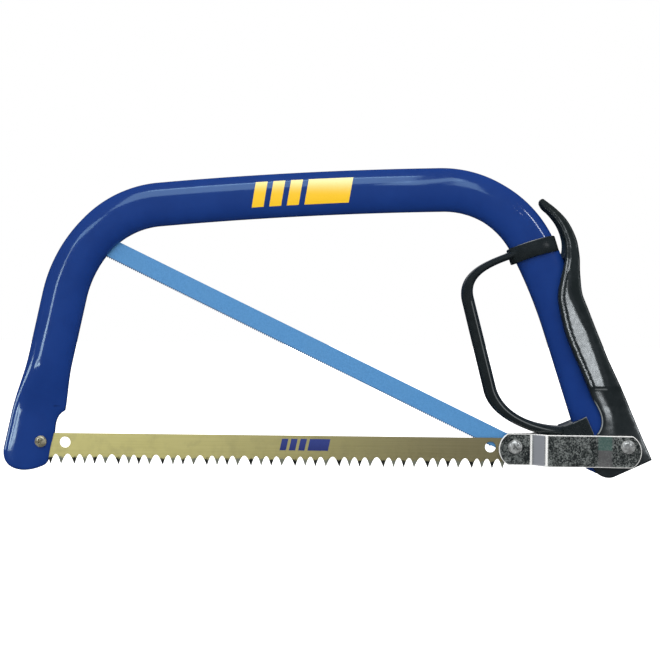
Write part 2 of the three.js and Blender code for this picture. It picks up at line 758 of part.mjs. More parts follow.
piece('lever', lever(), 'blackMoulding');

// The part's origin is the centre of the saw's box.
saw.position.copy(new THREE.Box3().setFromObject(saw).getCenter(new THREE.Vector3()).negate());

export default saw;
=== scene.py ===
"""Looks for a combination bow saw and hacksaw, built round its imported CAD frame.

Shapes are worked out in millimetres about the front blade screw, with x along the blade to the
hand, z up to the bow and y across the saw (the near side is -y). place() turns them into metres in
the row frame.
"""

import json
import math

import bpy
import numpy as np
from mathutils import Matrix, Vector, geometry

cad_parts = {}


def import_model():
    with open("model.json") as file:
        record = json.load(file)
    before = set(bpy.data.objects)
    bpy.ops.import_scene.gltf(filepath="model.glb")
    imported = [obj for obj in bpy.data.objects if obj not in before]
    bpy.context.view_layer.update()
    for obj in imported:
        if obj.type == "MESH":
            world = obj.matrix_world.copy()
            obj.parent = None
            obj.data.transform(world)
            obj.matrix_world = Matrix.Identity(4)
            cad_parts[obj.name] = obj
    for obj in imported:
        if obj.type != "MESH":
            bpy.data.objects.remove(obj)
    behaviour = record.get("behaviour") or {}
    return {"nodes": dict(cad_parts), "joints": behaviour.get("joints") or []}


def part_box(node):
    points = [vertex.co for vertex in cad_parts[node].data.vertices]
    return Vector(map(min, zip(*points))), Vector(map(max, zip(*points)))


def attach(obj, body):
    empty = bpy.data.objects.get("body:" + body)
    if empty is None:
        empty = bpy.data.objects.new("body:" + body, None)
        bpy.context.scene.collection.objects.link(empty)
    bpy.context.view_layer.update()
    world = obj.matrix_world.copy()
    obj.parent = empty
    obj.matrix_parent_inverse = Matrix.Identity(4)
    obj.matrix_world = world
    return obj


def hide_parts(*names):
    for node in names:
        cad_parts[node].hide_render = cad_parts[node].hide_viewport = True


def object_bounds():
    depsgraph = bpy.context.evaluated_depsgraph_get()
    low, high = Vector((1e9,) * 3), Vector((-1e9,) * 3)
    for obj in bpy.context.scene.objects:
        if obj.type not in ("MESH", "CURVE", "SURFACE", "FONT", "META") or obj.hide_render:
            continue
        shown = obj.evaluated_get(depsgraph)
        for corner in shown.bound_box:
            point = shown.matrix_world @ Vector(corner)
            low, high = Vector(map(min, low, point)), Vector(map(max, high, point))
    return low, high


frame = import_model()
CAD_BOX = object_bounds()

# ------------------------------------------------------------------ places from the frame

JOINTS = {joint["name"]: joint for joint in frame["joints"]}
ORIGIN = np.array(JOINTS["wood_blade_pivot"]["pos_m"])


def place(points):
    """Row-frame metres for points in millimetres about the front screw."""
    return np.asarray(points, float) / 1000 + ORIGIN


def found(joint):
    """A joint's axis as (x, z) in millimetres about the front screw."""
    at = (np.array(JOINTS[joint]["pos_m"]) - ORIGIN) * 1000
    return at[0], at[2]


def extent(node):
    """A CAD node's box in millimetres about the front screw."""
    low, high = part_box(node)
    return (np.array(low) - ORIGIN) * 1000, (np.array(high) - ORIGIN) * 1000


FRONT = (0.0, 0.0)
LINK_SCREW = (300.0, 0.0)
FULCRUM = found("lever_pivot")
LINK_PIVOT = found("link_pivot")
ANCHOR = found("hacksaw_blade_pivot")
GUARD_SCREWS = [
    tuple(((extent(node)[0] + extent(node)[1]) / 2)[[0, 2]])
    for node in ("guard_band_screw", "guard_saddle_screw")
]

TUBE_WIDTH, BENT_WIDTH, TUBE_DEPTH, TUBE_WALL, TUBE_POWER = 27.7, 26.7, 13.0, 1.2, 2.6
FLAT_WIDTH, FLAT_DEPTH, FLAT_POWER = 33.4, 5.4, 3.2
FRONT_HEADING, REAR_HEADING = 78.1, -72.1
BLADE_SLOPE = 25.6
CHEEK_INNER, CHEEK_OUTER = 7.0, 8.7
PLATE_THICKNESS = 2.0
SCREW_HOLE, PIN_HOLE, RIVET_HOLE, GUARD_HOLE = 2.2, 3.1, 2.4, 1.7
THROUGH = 12


# ------------------------------------------------------------------ mesh helpers

def toward(heading):
    """The (x, z) direction at a heading in degrees above the x axis."""
    return math.cos(math.radians(heading)), math.sin(math.radians(heading))


def add_mesh(name, points, faces, sharp=35):
    """An object from millimetre points and faces, smooth except along edges sharper than an angle."""
    mesh = bpy.data.meshes.new(name)
    mesh.from_pydata(place(points).tolist(), [], [tuple(int(i) for i in f) for f in faces])
    mesh.validate()
    mesh.shade_smooth()
    mesh.set_sharp_from_angle(angle=math.radians(sharp))
    obj = bpy.data.objects.new(name, mesh)
    bpy.context.scene.collection.objects.link(obj)
    return obj


def settle(obj, sharp=35):
    """Applies an object's modifiers."""
    graph = bpy.context.evaluated_depsgraph_get()
    mesh = bpy.data.meshes.new_from_object(obj.evaluated_get(graph))
    obj.modifiers.clear()
    obj.data = mesh
    mesh.shade_smooth()
    mesh.set_sharp_from_angle(angle=math.radians(sharp))
    return obj


def combine(obj, tools, operation="DIFFERENCE", sharp=35):
    """Cuts or joins closed meshes, and removes the tools."""
    for tool in tools:
        step = obj.modifiers.new("cut", "BOOLEAN")
        step.operation = operation
        step.object = tool
        step.solver = "MANIFOLD"
    settle(obj, sharp)
    for tool in tools:
        bpy.data.objects.remove(tool)
    return obj


def rings(name, sections, sharp=35):
    """A closed skin over equal-sized rings of points, with a fan of faces at each end."""
    sections = [np.asarray(s, float) for s in sections]
    count = len(sections[0])
    points = np.concatenate(sections + [sections[0].mean(0)[None], sections[-1].mean(0)[None]])
    faces = []
    for row in range(len(sections) - 1):
        for i in range(count):
            j = (i + 1) % count
            a, b = row * count, (row + 1) * count
            faces.append((a + i, a + j, b + j, b + i))
    first, last = len(points) - 2, len(points) - 1
    end = (len(sections) - 1) * count
    for i in range(count):
        j = (i + 1) % count
        faces.append((first, j, i))
        faces.append((last, end + i, end + j))
    return add_mesh(name, points, faces, sharp)


def turned(name, centre, profile, sides=64, sharp=35):
    """A piece turned about a y axis; the profile is (radius, y) pairs from near to far."""
    angles = -np.linspace(0, 2 * math.pi, sides, endpoint=False)
    sections = []
    for radius, y in profile:
        radius = max(radius, 1e-3)
        x = centre[0] + radius * np.cos(angles)
        z = centre[1] + radius * np.sin(angles)
        sections.append(np.stack([x, np.full(sides, float(y)), z], 1))
    return rings(name, sections, sharp)


def prism(name, corners, near, far, sharp=35):
    """A straight prism along y over a polygon in (x, z), counter-clockwise seen from the near side."""
    corners = np.asarray(corners, float)
    low = np.insert(corners, 1, near, 1)
    high = np.insert(corners, 1, far, 1)
    count = len(corners)
    faces = [tuple(range(count)), tuple(range(2 * count - 1, count - 1, -1))]
    for i in range(count):
        j = (i + 1) % count
        faces.append((i, count + i, count + j, j))
    return add_mesh(name, np.concatenate([low, high]), faces, sharp)


def drill(centre, radius, near, far, sides=40):
    """A round cutter along y."""
    return turned("hole", centre, [(radius, near), (radius, far)], sides)


def set_at(origin, heading, points):
    """Points drawn in axes that are turned to a heading and set at a point."""
    c, s = toward(heading)
    return [(origin[0] + x * c - z * s, origin[1] + x * s + z * c) for x, z in points]


def box_at(origin, heading, x0, z0, x1, z1):
    """Corners of a rectangle drawn in axes that are turned to a heading and set at a point."""
    return set_at(origin, heading, [(x0, z0), (x1, z0), (x1, z1), (x0, z1)])


def curve(p0, p1, p2, p3, count=12):
    """Points of a cubic Bezier curve after its start."""
    t = np.linspace(0, 1, count + 1)[1:, None]
    p0, p1, p2, p3 = (np.array(p, float) for p in (p0, p1, p2, p3))
    return (1 - t) ** 3 * p0 + 3 * t * (1 - t) ** 2 * p1 + 3 * t * t * (1 - t) * p2 + t ** 3 * p3


def through(points, count=6):
    """A smooth curve through points (Catmull-Rom), with its ends."""
    points = np.asarray(points, float)
    padded = np.concatenate([points[:1], points, points[-1:]])
    out = [points[:1]]
    for i in range(len(points) - 1):
        p0, p1, p2, p3 = padded[i:i + 4]
        t = np.linspace(0, 1, count + 1)[1:, None]
        out.append(0.5 * (2 * p1 + (p2 - p0) * t + (2 * p0 - 5 * p1 + 4 * p2 - p3) * t ** 2
                          + (3 * p1 - p0 - 3 * p2 + p3) * t ** 3))
    return np.concatenate(out)


def distance_to(points, path, closed=True):
    """Distance from points to a polyline, both in (x, z)."""
    a = np.asarray(path, float)
    b = np.roll(a, -1, 0)
    if not closed:
        a, b = a[:-1], b[:-1]
    best = np.full(len(points), 1e9)
    for p, q in zip(a, b):
        d = q - p
        t = np.clip(((points - p) @ d) / max(d @ d, 1e-12), 0, 1)
        best = np.minimum(best, np.linalg.norm(points - p - t[:, None] * d, axis=1))
    return best


def inside(points, outline):
    """Which points lie inside a closed outline."""
    x, z = points[:, 0], points[:, 1]
    result = np.zeros(len(points), bool)
    for (x0, z0), (x1, z1) in zip(outline, np.roll(outline, -1, 0)):
        if z0 == z1:
            continue
        crosses = (z0 > z) != (z1 > z)
        result ^= crosses & (x < (x1 - x0) * (z - z0) / (z1 - z0) + x0)
    return result


def densify(outline, step):
    """The outline with points added so that none are further apart than a step."""
    out = []
    for p, q in zip(outline, np.roll(outline, -1, 0)):
        count = max(1, int(math.ceil(np.linalg.norm(q - p) / step)))
        out.extend(p + (q - p) * i / count for i in range(count))
    return np.array(out)


def thick(name, outline, near, far, radius, step, sharp=35, inner=None, rails=None):
    """A closed solid over an outline in (x, z) whose two faces are height functions of (points, depth),
    where depth is the distance to the outline, and whose rims are rounded to a radius. Rails are extra
    points along creases, which the even grid keeps clear of."""
    outline = densify(np.asarray(outline, float), step)
    low, high = outline.min(0), outline.max(0)
    xs, zs = np.meshgrid(np.arange(low[0], high[0], step), np.arange(low[1], high[1], step * 0.866))
    xs[1::2] += step / 2
    grid = np.stack([xs.ravel(), zs.ravel()], 1)
    grid = grid[inside(grid, outline)]
    grid = grid[distance_to(grid, outline) > max(radius, step * 0.4) + step * 0.5]
    if inner is not None:
        grid = grid[inner(grid)]
    if rails is not None:
        rails = rails[inside(rails, outline)]
        rails = rails[distance_to(rails, outline) > 0.3]
        apart = np.array([np.min(np.abs(rails - p).sum(1)) for p in grid])
        grid = np.concatenate([grid[apart > step * 0.6], rails])
    ahead = np.roll(outline, -1, 0) - np.roll(outline, 1, 0)
    inward = np.stack([-ahead[:, 1], ahead[:, 0]], 1) / np.linalg.norm(ahead, axis=1)[:, None]
    bands = []
    for angle in (25, 50, 72, 90):
        depth = radius * (1 - math.cos(math.radians(angle)))
        band = outline + inward * depth
        good = inside(band, outline)
        good &= distance_to(band, outline) > depth * 0.97
        bands.append(band[good])
    flat = np.concatenate([outline] + bands + [grid])
    count = len(outline)
    edges = [(i, (i + 1) % count) for i in range(count)]
    result = geometry.delaunay_2d_cdt([Vector(p) for p in flat], edges, [], 1, 1e-5)
    flat = np.array([tuple(p) for p in result[0]])
    depth = distance_to(flat, outline)
    short = np.clip(radius - depth, 0, radius)
    drop = radius - np.sqrt(np.maximum(radius * radius - short * short, 0))
    low = np.stack([flat[:, 0], near(flat, depth) + drop, flat[:, 1]], 1)
    high = np.stack([flat[:, 0], far(flat, depth) - drop, flat[:, 1]], 1)
    total = len(flat)
    faces = [tuple(f) for f in result[2]]
    faces += [tuple(total + i for i in reversed(f)) for f in result[2]]
    used = {}
    for face in result[2]:
        for i in range(len(face)):
            used[(face[i], face[(i + 1) % len(face)])] = True
    for i, j in used:
        if (j, i) not in used:
            faces.append((j, i, total + i, total + j))
    return add_mesh(name, np.concatenate([low, high]), faces, sharp)


def steady(value):
    """A height function that is the same everywhere."""
    return lambda points, depth: np.full(len(points), float(value))


def mark(obj, name, values):
    """Stores a number at each vertex for the material to read."""
    attribute = obj.data.attributes.new(name, "FLOAT", "POINT")
    attribute.data.foreach_set("value", np.asarray(values, np.float32))


def vertices(obj):
    """An object's vertices in millimetres about the front screw."""
    flat = np.zeros(len(obj.data.vertices) * 3, np.float32)
    obj.data.vertices.foreach_get("co", flat)
    return (flat.reshape(-1, 3).astype(float) - ORIGIN) * 1000


# ------------------------------------------------------------------ materials

class Paint:
    """A small builder for a node material."""

    def __init__(self, name):
        self.material = bpy.data.materials.new(name)
        self.material.use_nodes = True
        self.tree = self.material.node_tree
        self.shader = self.tree.nodes["Principled BSDF"]
        self.place = self.node("ShaderNodeTexCoord").outputs["Object"]

    def node(self, kind, **settings):
        made = self.tree.nodes.new(kind)
        for key, value in settings.items():
            setattr(made, key, value)
        return made

    def link(self, source, target):
        self.tree.links.new(source, target)

    def put(self, target, value):
        if isinstance(value, bpy.types.NodeSocket):
            self.link(value, target)
        else:
            target.default_value = value

    def set(self, **inputs):
        for key, value in inputs.items():
            self.put(self.shader.inputs[key.replace("_", " ")], value)

    def stretched(self, scale=(1, 1, 1), turn=0):
        """Object coordinates in millimetres, turned about y and scaled."""
        mapping = self.node("ShaderNodeMapping")
        self.link(self.place, mapping.inputs["Vector"])
        mapping.inputs["Rotation"].default_value = (0, math.radians(turn), 0)
        mapping.inputs["Scale"].default_value = tuple(1000 * s for s in scale)
        return mapping.outputs["Vector"]

    def noise(self, size, detail=4, roughness=0.6, vector=None):
        """Noise whose blotches are about size millimetres across."""
        made = self.node("ShaderNodeTexNoise")
        self.link(vector or self.stretched(), made.inputs["Vector"])
        made.inputs["Scale"].default_value = 1 / size
        made.inputs["Detail"].default_value = detail
        made.inputs["Roughness"].default_value = roughness
        return made.outputs["Fac"]

    def ramp(self, value, low, high, start=0.0, end=1.0):
        """A smooth step of a value from low to high, giving start to end."""
        made = self.node("ShaderNodeMapRange", interpolation_type="SMOOTHSTEP")
        self.link(value, made.inputs["Value"])
        for key, number in (("From Min", low), ("From Max", high), ("To Min", start), ("To Max", end)):
            made.inputs[key].default_value = number
        return made.outputs["Result"]

    def mix(self, share, first, second):
        made = self.node("ShaderNodeMix", data_type="RGBA")
        self.put(made.inputs[0], share)
        for target, value in ((made.inputs[6], first), (made.inputs[7], second)):
            self.put(target, value if isinstance(value, bpy.types.NodeSocket) else (*value, 1))
        return made.outputs[2]

    def sum(self, first, second, operation="ADD"):
        made = self.node("ShaderNodeMath", operation=operation)
        self.put(made.inputs[0], first)
        self.put(made.inputs[1], second)
        return made.outputs[0]

    def attribute(self, name):
        return self.node("ShaderNodeAttribute", attribute_name=name).outputs["Fac"]

    def along(self, axis):
        """One object coordinate, in metres."""
        split = self.node("ShaderNodeSeparateXYZ")
        self.link(self.place, split.inputs[0])
        return split.outputs[axis]

    def bump(self, height, distance_mm, strength=1.0):
        made = self.node("ShaderNodeBump")
        made.inputs["Strength"].default_value = strength
        made.inputs["Distance"].default_value = distance_mm / 1000
        self.link(height, made.inputs["Height"])
        self.link(made.outputs["Normal"], self.shader.inputs["Normal"])
        self.link(made.outputs["Normal"], self.shader.inputs["Coat Normal"])
        return self.material


def powder_coat():
    """Dark blue paint under a clear glossy skin."""
    paint = Paint("blue_powder_coat")
    cloud = paint.ramp(paint.noise(18, 2), 0.35, 0.65)
    paint.set(
        Base_Color=paint.mix(cloud, (0.0048, 0.0335, 0.196), (0.0058, 0.0375, 0.212)),
        Roughness=0.5,
        Specular_IOR_Level=0.1,
        Coat_Weight=1.0,
        Coat_Roughness=paint.ramp(paint.noise(2.5, 3), 0.3, 0.7, 0.05, 0.1),
    )
    return paint.bump(paint.noise(1.1, 2, 0.5), 0.004)


def gold_lacquer():
    """Gold lacquer with painted shade that darkens it towards the handle, with fine lines along the blade and
    bare tips.
    """
    paint = Paint("gold_lacquer")
    left, right = place([(20, 0, 0), (300, 0, 0)])[:, 0]
    lines = paint.noise(1, 3, 0.55, paint.stretched((0.02, 1, 1.6)))
    # Painted shade: the blade is painted pale at the front and olive towards the handle, as the light falls
    # along it.
    shade = paint.ramp(paint.along("X"), left, right)
    pale = paint.mix(lines, (0.52, 0.475, 0.165), (0.68, 0.63, 0.265))
    olive = paint.mix(lines, (0.145, 0.127, 0.062), (0.245, 0.213, 0.107))
    body = paint.mix(shade, pale, olive)
    blotch = paint.ramp(paint.noise(9, 4), 0.45, 0.72, 0, 0.22)
    body = paint.mix(blotch, body, (0.23, 0.21, 0.11))
    smear = paint.noise(1.6, 3)
    bare = paint.mix(paint.ramp(smear, 0.35, 0.65), (0.006, 0.008, 0.008), (0.035, 0.04, 0.03))
    bare = paint.mix(paint.attribute("ground"), bare, (0.24, 0.26, 0.20))
    top, bottom = place([(0, 0, -9.2), (0, 0, -10.6)])[:, 2]
    edge = paint.sum(paint.along("Z"), paint.ramp(smear, 0.3, 0.7, -0.0006, 0.0006))
    tip = paint.ramp(edge, bottom, top, 1.0, 0.0)
    paint.set(
        Base_Color=paint.mix(tip, body, bare),
        Metallic=0.2,
        Roughness=paint.ramp(lines, 0.3, 0.7, 0.36, 0.5),
    )
    return paint.bump(lines, 0.02, 0.5)


def blue_paint():
    """Light blue paint, worn along the fine blade's toothed edge."""
    paint = Paint("light_blue_paint")
    grain = paint.ramp(paint.noise(0.9, 3), 0.3, 0.7)
    cloud = paint.ramp(paint.noise(14, 3), 0.3, 0.7)
    body = paint.mix(grain, (0.062, 0.248, 0.54), (0.084, 0.297, 0.615))
    body = paint.mix(paint.sum(cloud, 0.35, "MULTIPLY"), body, (0.085, 0.28, 0.56))
    across = paint.node("ShaderNodeVectorMath", operation="DOT_PRODUCT")
    paint.link(paint.place, across.inputs[0])
    turn = math.radians(BLADE_SLOPE)
    across.inputs[1].default_value = (math.sin(turn), 0, math.cos(turn))
    edge = place([(ANCHOR[0], 0, ANCHOR[1])])[0] @ np.array((math.sin(turn), 0, math.cos(turn)))
    bare = paint.ramp(across.outputs["Value"], edge - 0.0062, edge - 0.0054, 1.0, 0.0)
    paint.set(Base_Color=paint.mix(bare, body, (0.045, 0.12, 0.25)), Roughness=0.45)
    return paint.bump(paint.noise(0.5, 2), 0.008)


def zinc(name, dark, pale, speck=0.55, roughness=0.34):
    """Zinc plate: finely speckled, with painted highlights where "rim" is marked, a painted pale reflection
    where "band" is and a painted tinted reflection where "step" is.
    """
    paint = Paint(name)
    flakes = paint.node("ShaderNodeTexVoronoi")
    paint.link(paint.stretched(), flakes.inputs["Vector"])
    flakes.inputs["Scale"].default_value = 0.6 / speck
    cloud = paint.ramp(paint.noise(8, 2), 0.3, 0.7, -0.05, 0.05)
    grain = paint.sum(paint.noise(speck, 3, 0.8), cloud)
    body = paint.mix(paint.ramp(grain, 0.42, 0.68), dark, pale)
    body = paint.mix(paint.ramp(flakes.outputs["Color"], 0.80, 0.97, 0, 0.55), body, pale)
    # Painted reflections: the "step" is painted grey below the middle and green above it, and the "band" pale
    # grey.
    middle = place([(0, 0, -0.7)])[0, 2]
    upper = paint.ramp(paint.along("Z"), middle - 0.0004, middle + 0.0004)
    tint = paint.mix(upper, (0.165, 0.165, 0.165), (0.10, 0.19, 0.165))
    body = paint.mix(paint.sum(paint.attribute("step"), 0.75, "MULTIPLY"), body, tint)
    body = paint.mix(paint.attribute("band"), body, (0.37, 0.385, 0.42))
    # Painted highlights: near white where "rim" is marked.
    rim = paint.ramp(paint.attribute("rim"), 0.2, 0.9)
    paint.set(
        Base_Color=paint.mix(rim, body, (1.0, 1.0, 0.98)),
        Metallic=paint.ramp(paint.attribute("rim"), 0.0, 0.5, 0.35, 0.0),
        Roughness=paint.ramp(grain, 0.35, 0.7, roughness, roughness + 0.14),
    )
    return paint.bump(grain, 0.015, 0.5)


def bright_steel(name="bright_steel", tint=(0.78, 0.80, 0.78)):
    """Plated steel with a smeared polish."""
    paint = Paint(name)
    smear = paint.noise(3, 4)
    paint.set(
        Base_Color=paint.mix(paint.ramp(smear, 0.35, 0.65), tuple(0.4 * t for t in tint), tint),
        Metallic=0.5,
        Roughness=paint.ramp(smear, 0.3, 0.7, 0.12, 0.28),
    )
    return paint.bump(smear, 0.01, 0.4)


def black_moulding(name, roughness, mottle):
    """Black plastic with a slightly wavy skin, with painted highlights in pale grey where "rim" is set, and
    duller where "matt" is.
    """
    paint = Paint(name)
    cloud = paint.noise(7, 4, 0.6)
    base = paint.mix(paint.ramp(cloud, 0.35, 0.7), (0.0115, 0.0160, 0.0172), (0.0160, 0.0212, 0.0228))
    # Painted highlights: pale grey where "rim" is marked.
    rim = paint.ramp(paint.attribute("rim"), 0.1, 1.0)
    shine = paint.ramp(paint.attribute("matt"), 0.0, 1.0, 0.5, 0.08)
    paint.set(
        Base_Color=paint.mix(rim, base, (0.42, 0.45, 0.46)),
        Roughness=paint.ramp(paint.noise(2.2, 3), 0.3, 0.7, roughness, roughness + 0.05),
        Specular_IOR_Level=shine,
    )
    return paint.bump(paint.noise(4.2, 2, 0.5), mottle)


def ink(name, low, high, z_low, z_high):
    """Printed ink, painted paler from one colour to another up the tube as a painted highlight."""
    paint = Paint(name)
    # Painted highlight: the ink is painted paler towards the top.
    shade = paint.ramp(paint.along("Z"), z_low, z_high)
    grain = paint.ramp(paint.noise(0.7, 3), 0.3, 0.7, 0, 0.12)
    body = paint.mix(shade, low, high)
    paint.set(Base_Color=paint.mix(grain, body, tuple(0.8 * c for c in low)), Roughness=0.35)
    return paint.bump(paint.noise(0.6, 2), 0.006)


def finish(obj, material, body, slot, *nodes):
    """Paints a piece, sets it on its body and hides the CAD nodes it stands for."""
    obj.data.materials.clear()
    obj.data.materials.append(material)
    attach(obj, body)
    if nodes:
        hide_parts(*nodes)
    return obj


# ------------------------------------------------------------------ the bow

class Walk:
    """A planar path of stations: x, z, heading, distance and how far the tube is drawn in."""

    def __init__(self, x, z, heading):
        self.stations = [(x, z, heading, 0.0, 0.0)]

    def straight(self, length, steps):
        x, z, heading, gone, _ = self.stations[-1]
        c, s = toward(heading)
        for i in range(1, steps + 1):
            d = length * i / steps
            self.stations.append((x + d * c, z + d * s, heading, gone + d, 0.0))
        return self

    def turn(self, radius, angle, steps, squeeze_end=0.0):
        x, z, heading, gone, squeeze = self.stations[-1]
        c, s = toward(heading)
        cx, cz = x + radius * s, z - radius * c
        for i in range(1, steps + 1):
            part = i / steps
            c, s = toward(heading - angle * part)
            self.stations.append((
                cx - radius * s,
                cz + radius * c,
                heading - angle * part,
                gone + radius * math.radians(angle * part),
                squeeze + (squeeze_end - squeeze) * part,
            ))
        return self


LEG_START = (-12.5, -30.0)
LEG_LENGTHS = (50.0, 36.0, 39.3)
REAR_LEG = 94.6
PRESS_START, PRESS_END = 46.0, 84.0
REAR_STATION = 96


def bow_path(overrun=0.0):
    walk = Walk(*LEG_START, FRONT_HEADING)
    walk.straight(LEG_LENGTHS[0], 20).straight(LEG_LENGTHS[1], 24).straight(LEG_LENGTHS[2], 10)
    walk.turn(81.6, 32, 22, 1).turn(61.9, 40.4, 24, 0)
    walk.turn(2450, 4.2, 16)
    walk.turn(63, 31.75, 22, 1).turn(63, 31.75, 22, 0)
    walk.turn(320, FRONT_HEADING - REAR_HEADING - 140.1, 8)
    walk.straight(REAR_LEG + overrun, 24)
    return walk.stations


def smoothstep(value, low, high):
    """A smooth step from 0 at low to 1 at high."""
    t = np.clip((np.asarray(value, float) - low) / (high - low), 0, 1)
    return t * t * (3 - 2 * t)


def section_sizes(station, grow=0.0):
    """Half width, half depth and roundness of the tube at a station."""
    flat = 1 - smoothstep(station[3], PRESS_START, PRESS_END)
    width = TUBE_WIDTH + (BENT_WIDTH - TUBE_WIDTH) * station[4]
    half_width = (width + (FLAT_WIDTH - width) * flat) / 2 + grow
    half_depth = (TUBE_DEPTH + (FLAT_DEPTH - TUBE_DEPTH) * flat) / 2 + grow
    return half_width, half_depth, TUBE_POWER + (FLAT_POWER - TUBE_POWER) * flat


def section(station, left, right, half_depth, power, sides=88):
    """A ring across the tube; left and right are its reach outside and inside the bow."""
    x, z, heading = station[:3]
    angle = -np.linspace(0, 2 * math.pi, sides, endpoint=False)
    cosine, sine = np.cos(angle), np.sin(angle)
    across = np.sign(cosine) * np.abs(cosine) ** (2 / power)
    deep = half_depth * np.sign(sine) * np.abs(sine) ** (2 / power)
    across = (left - right) / 2 * across + (left + right) / 2
    c, s = toward(heading)
    return np.stack([x - across * s, deep, z + across * c], 1)


def front_outline():
    """The pressed end's outline as (distance along the leg, reach across it), left edge then right."""
    left = [(-24.4, 12.0), (-24.4, -8.0)]
    left = np.concatenate([left, curve(left[-1], (-24, -14.6), (-18.6, -18.6), (-11.6, -18.6), 30)])
    right = curve((-11.6, -18.6), (-6, -18.6), (-2, -17.2), (1.5, -15.7), 12)
    right = np.concatenate([right, curve((1.5, -15.7), (3.9, -14.3), (5.2, -11.6), (5.4, -7.5), 10)])
    right = np.concatenate([right, curve((5.4, -7.5), (6.4, -2.9), (7.5, 1.7), (8.5, 6.3), 6)])
    right = np.concatenate([right, curve((8.5, 6.3), (8.6, 13), (10.6, 18), (15.0, 19.2), 12)])
    c, s = toward(FRONT_HEADING)
    outline = np.concatenate([left, right]) - np.array(LEG_START)
    along, across = outline @ (c, s), outline @ (-s, c)
    lowest = int(np.argmin(along))
    left = slice(lowest, None, -1)
    return along[left], across[left], along[lowest:], across[lowest:]


def tube_sections():
    """Rings from the rounded tip of the pressed end to the handle end."""
    left_s, left_c, right_s, right_c = front_outline()
    tip = left_s[0]
    rows = []
    ends = tip + (PRESS_START + 8 - tip) * (1 - np.cos(np.linspace(0.02, math.pi / 2, 44)))
    c, s = toward(FRONT_HEADING)
    for along in ends:
        station = (LEG_START[0] + along * c, LEG_START[1] + along * s, FRONT_HEADING, along, 0.0)
        half_width, half_depth, power = section_sizes(station)
        left = min(half_width, float(np.interp(along, left_s, left_c)))
        right = max(-half_width, float(np.interp(along, right_s, right_c)))
        closing = np.clip((along - tip) / 2.6, 0, 1)
        half_depth *= math.sqrt(1 - (1 - closing) ** 2)
        rows.append(section(station, left, right, half_depth, power))
    for station in bow_path():
        if station[3] > PRESS_START + 8.5:
            half_width, half_depth, power = section_sizes(station)
            rows.append(section(station, half_width, -half_width, half_depth, power))
    return rows


def bore():
    """The hollow of the tube, from above the pressed end to past the handle end."""
    rows = []
    for station in bow_path(20):
        if station[3] > 66:
            half_width, half_depth, power = section_sizes(station, -TUBE_WALL)
            rows.append(section(station, half_width, -half_width, half_depth, power, 56))
    return rings("bore", rows)


def rear_trim():
    """What is cut off the handle end, which is a half ellipse about the fulcrum."""
    half = TUBE_WIDTH / 2
    arc = [(6.5 * math.cos(a), half * math.sin(a)) for a in np.linspace(-math.pi / 2, math.pi / 2, 40)]
    local = [(60, -half - 4), (60, half + 4), (0, half + 4)] + arc[::-1] + [(0, -half - 4)]
    return prism("rear_trim", set_at(FULCRUM, REAR_HEADING, local), -9, 9)


def frame_tube():
    """The bow, with its hollow, the front slit and the holes."""
    tube = rings("tube", tube_sections())
    slot = box_at(ANCHOR, -BLADE_SLOPE, -9, -7.3, 60, 6.2)
    mouth = [(-9.5, -40), (30, -40), (30, 22.5), (-9.5, 22.5)]
    tools = [
        bore(),
        rear_trim(),
        prism("mouth", mouth, -1.3, 1.3),
        prism("slot", slot, -0.55, 1.7),
        prism("press_mark", [(8, 22.2), (14.6, 22.2), (14.6, 22.8), (8, 22.8)], -9, -2.45),
        drill(FRONT, SCREW_HOLE, -10, 10),
        drill(FULCRUM, PIN_HOLE, -10, 10),
    ]
    tools += [drill(at, GUARD_HOLE, 0, 10, 32) for at in GUARD_SCREWS]
    return combine(tube, tools, sharp=30)


BLUE = powder_coat()
ZINC = zinc("zinc_plate", (0.010, 0.015, 0.015), (0.30, 0.325, 0.31), 0.95)
ZINC_PALE = zinc("zinc_small", (0.20, 0.21, 0.205), (0.45, 0.46, 0.45))
STEEL = bright_steel()
BRASSY = bright_steel("yellow_passivated_steel", (0.72, 0.68, 0.50))
GUARD_BLACK = black_moulding("black_moulding", 0.24, 0.01)
GRIP_BLACK = black_moulding("black_grip_moulding", 0.22, 0.04)

TUBE = finish(frame_tube(), BLUE, "frame", "powder_coat", "frame_tube")


# ------------------------------------------------------------------ printed marks

def tube_patch(name, corners):
    """A thin inked patch on the tube's near face; corners are (distance along, reach across)."""
    stations = bow_path()
    distances = np.array([s[3] for s in stations])
    columns = []
    for t in np.linspace(0, 1, 9):
        low = np.array(corners[0]) * (1 - t) + np.array(corners[1]) * t
        high = np.array(corners[3]) * (1 - t) + np.array(corners[2]) * t
        columns.append([low + (high - low) * u for u in np.linspace(0, 1, 15)])
    grid = np.array(columns)
    points = []
    for proud in (0.05, -0.25):
        for along, across in grid.reshape(-1, 2):
            x, z, heading, squeeze = (
                float(np.interp(along, distances, [s[k] for s in stations])) for k in (0, 1, 2, 4)
            )
            half_width, half_depth, power = section_sizes((x, z, heading, along, squeeze))
            y = -half_depth * (1 - abs(across / half_width) ** power) ** (1 / power) - proud
            c, s = toward(heading)
            points.append((x - across * s, y, z + across * c))
    wide, tall = grid.shape[:2]
    total = wide * tall
    faces = []
    for i in range(wide - 1):
        for j in range(tall - 1):
            a, b, c, d = i * tall + j, (i + 1) * tall + j, (i + 1) * tall + j + 1, i * tall + j + 1
            faces.append((a, b, c, d))
            faces.append((total + d, total + c, total + b, total + a))
    rim = [i * tall for i in range(wide)]
    rim += [(wide - 1) * tall + j for j in range(1, tall)]
    rim += [i * tall + tall - 1 for i in range(wide - 2, -1, -1)]
    rim += [j for j in range(tall - 2, 0, -1)]
    for a, b in zip(rim, rim[1:] + rim[:1]):
        faces.append((b, a, total + a, total + b))
    return add_mesh(name, points, faces)


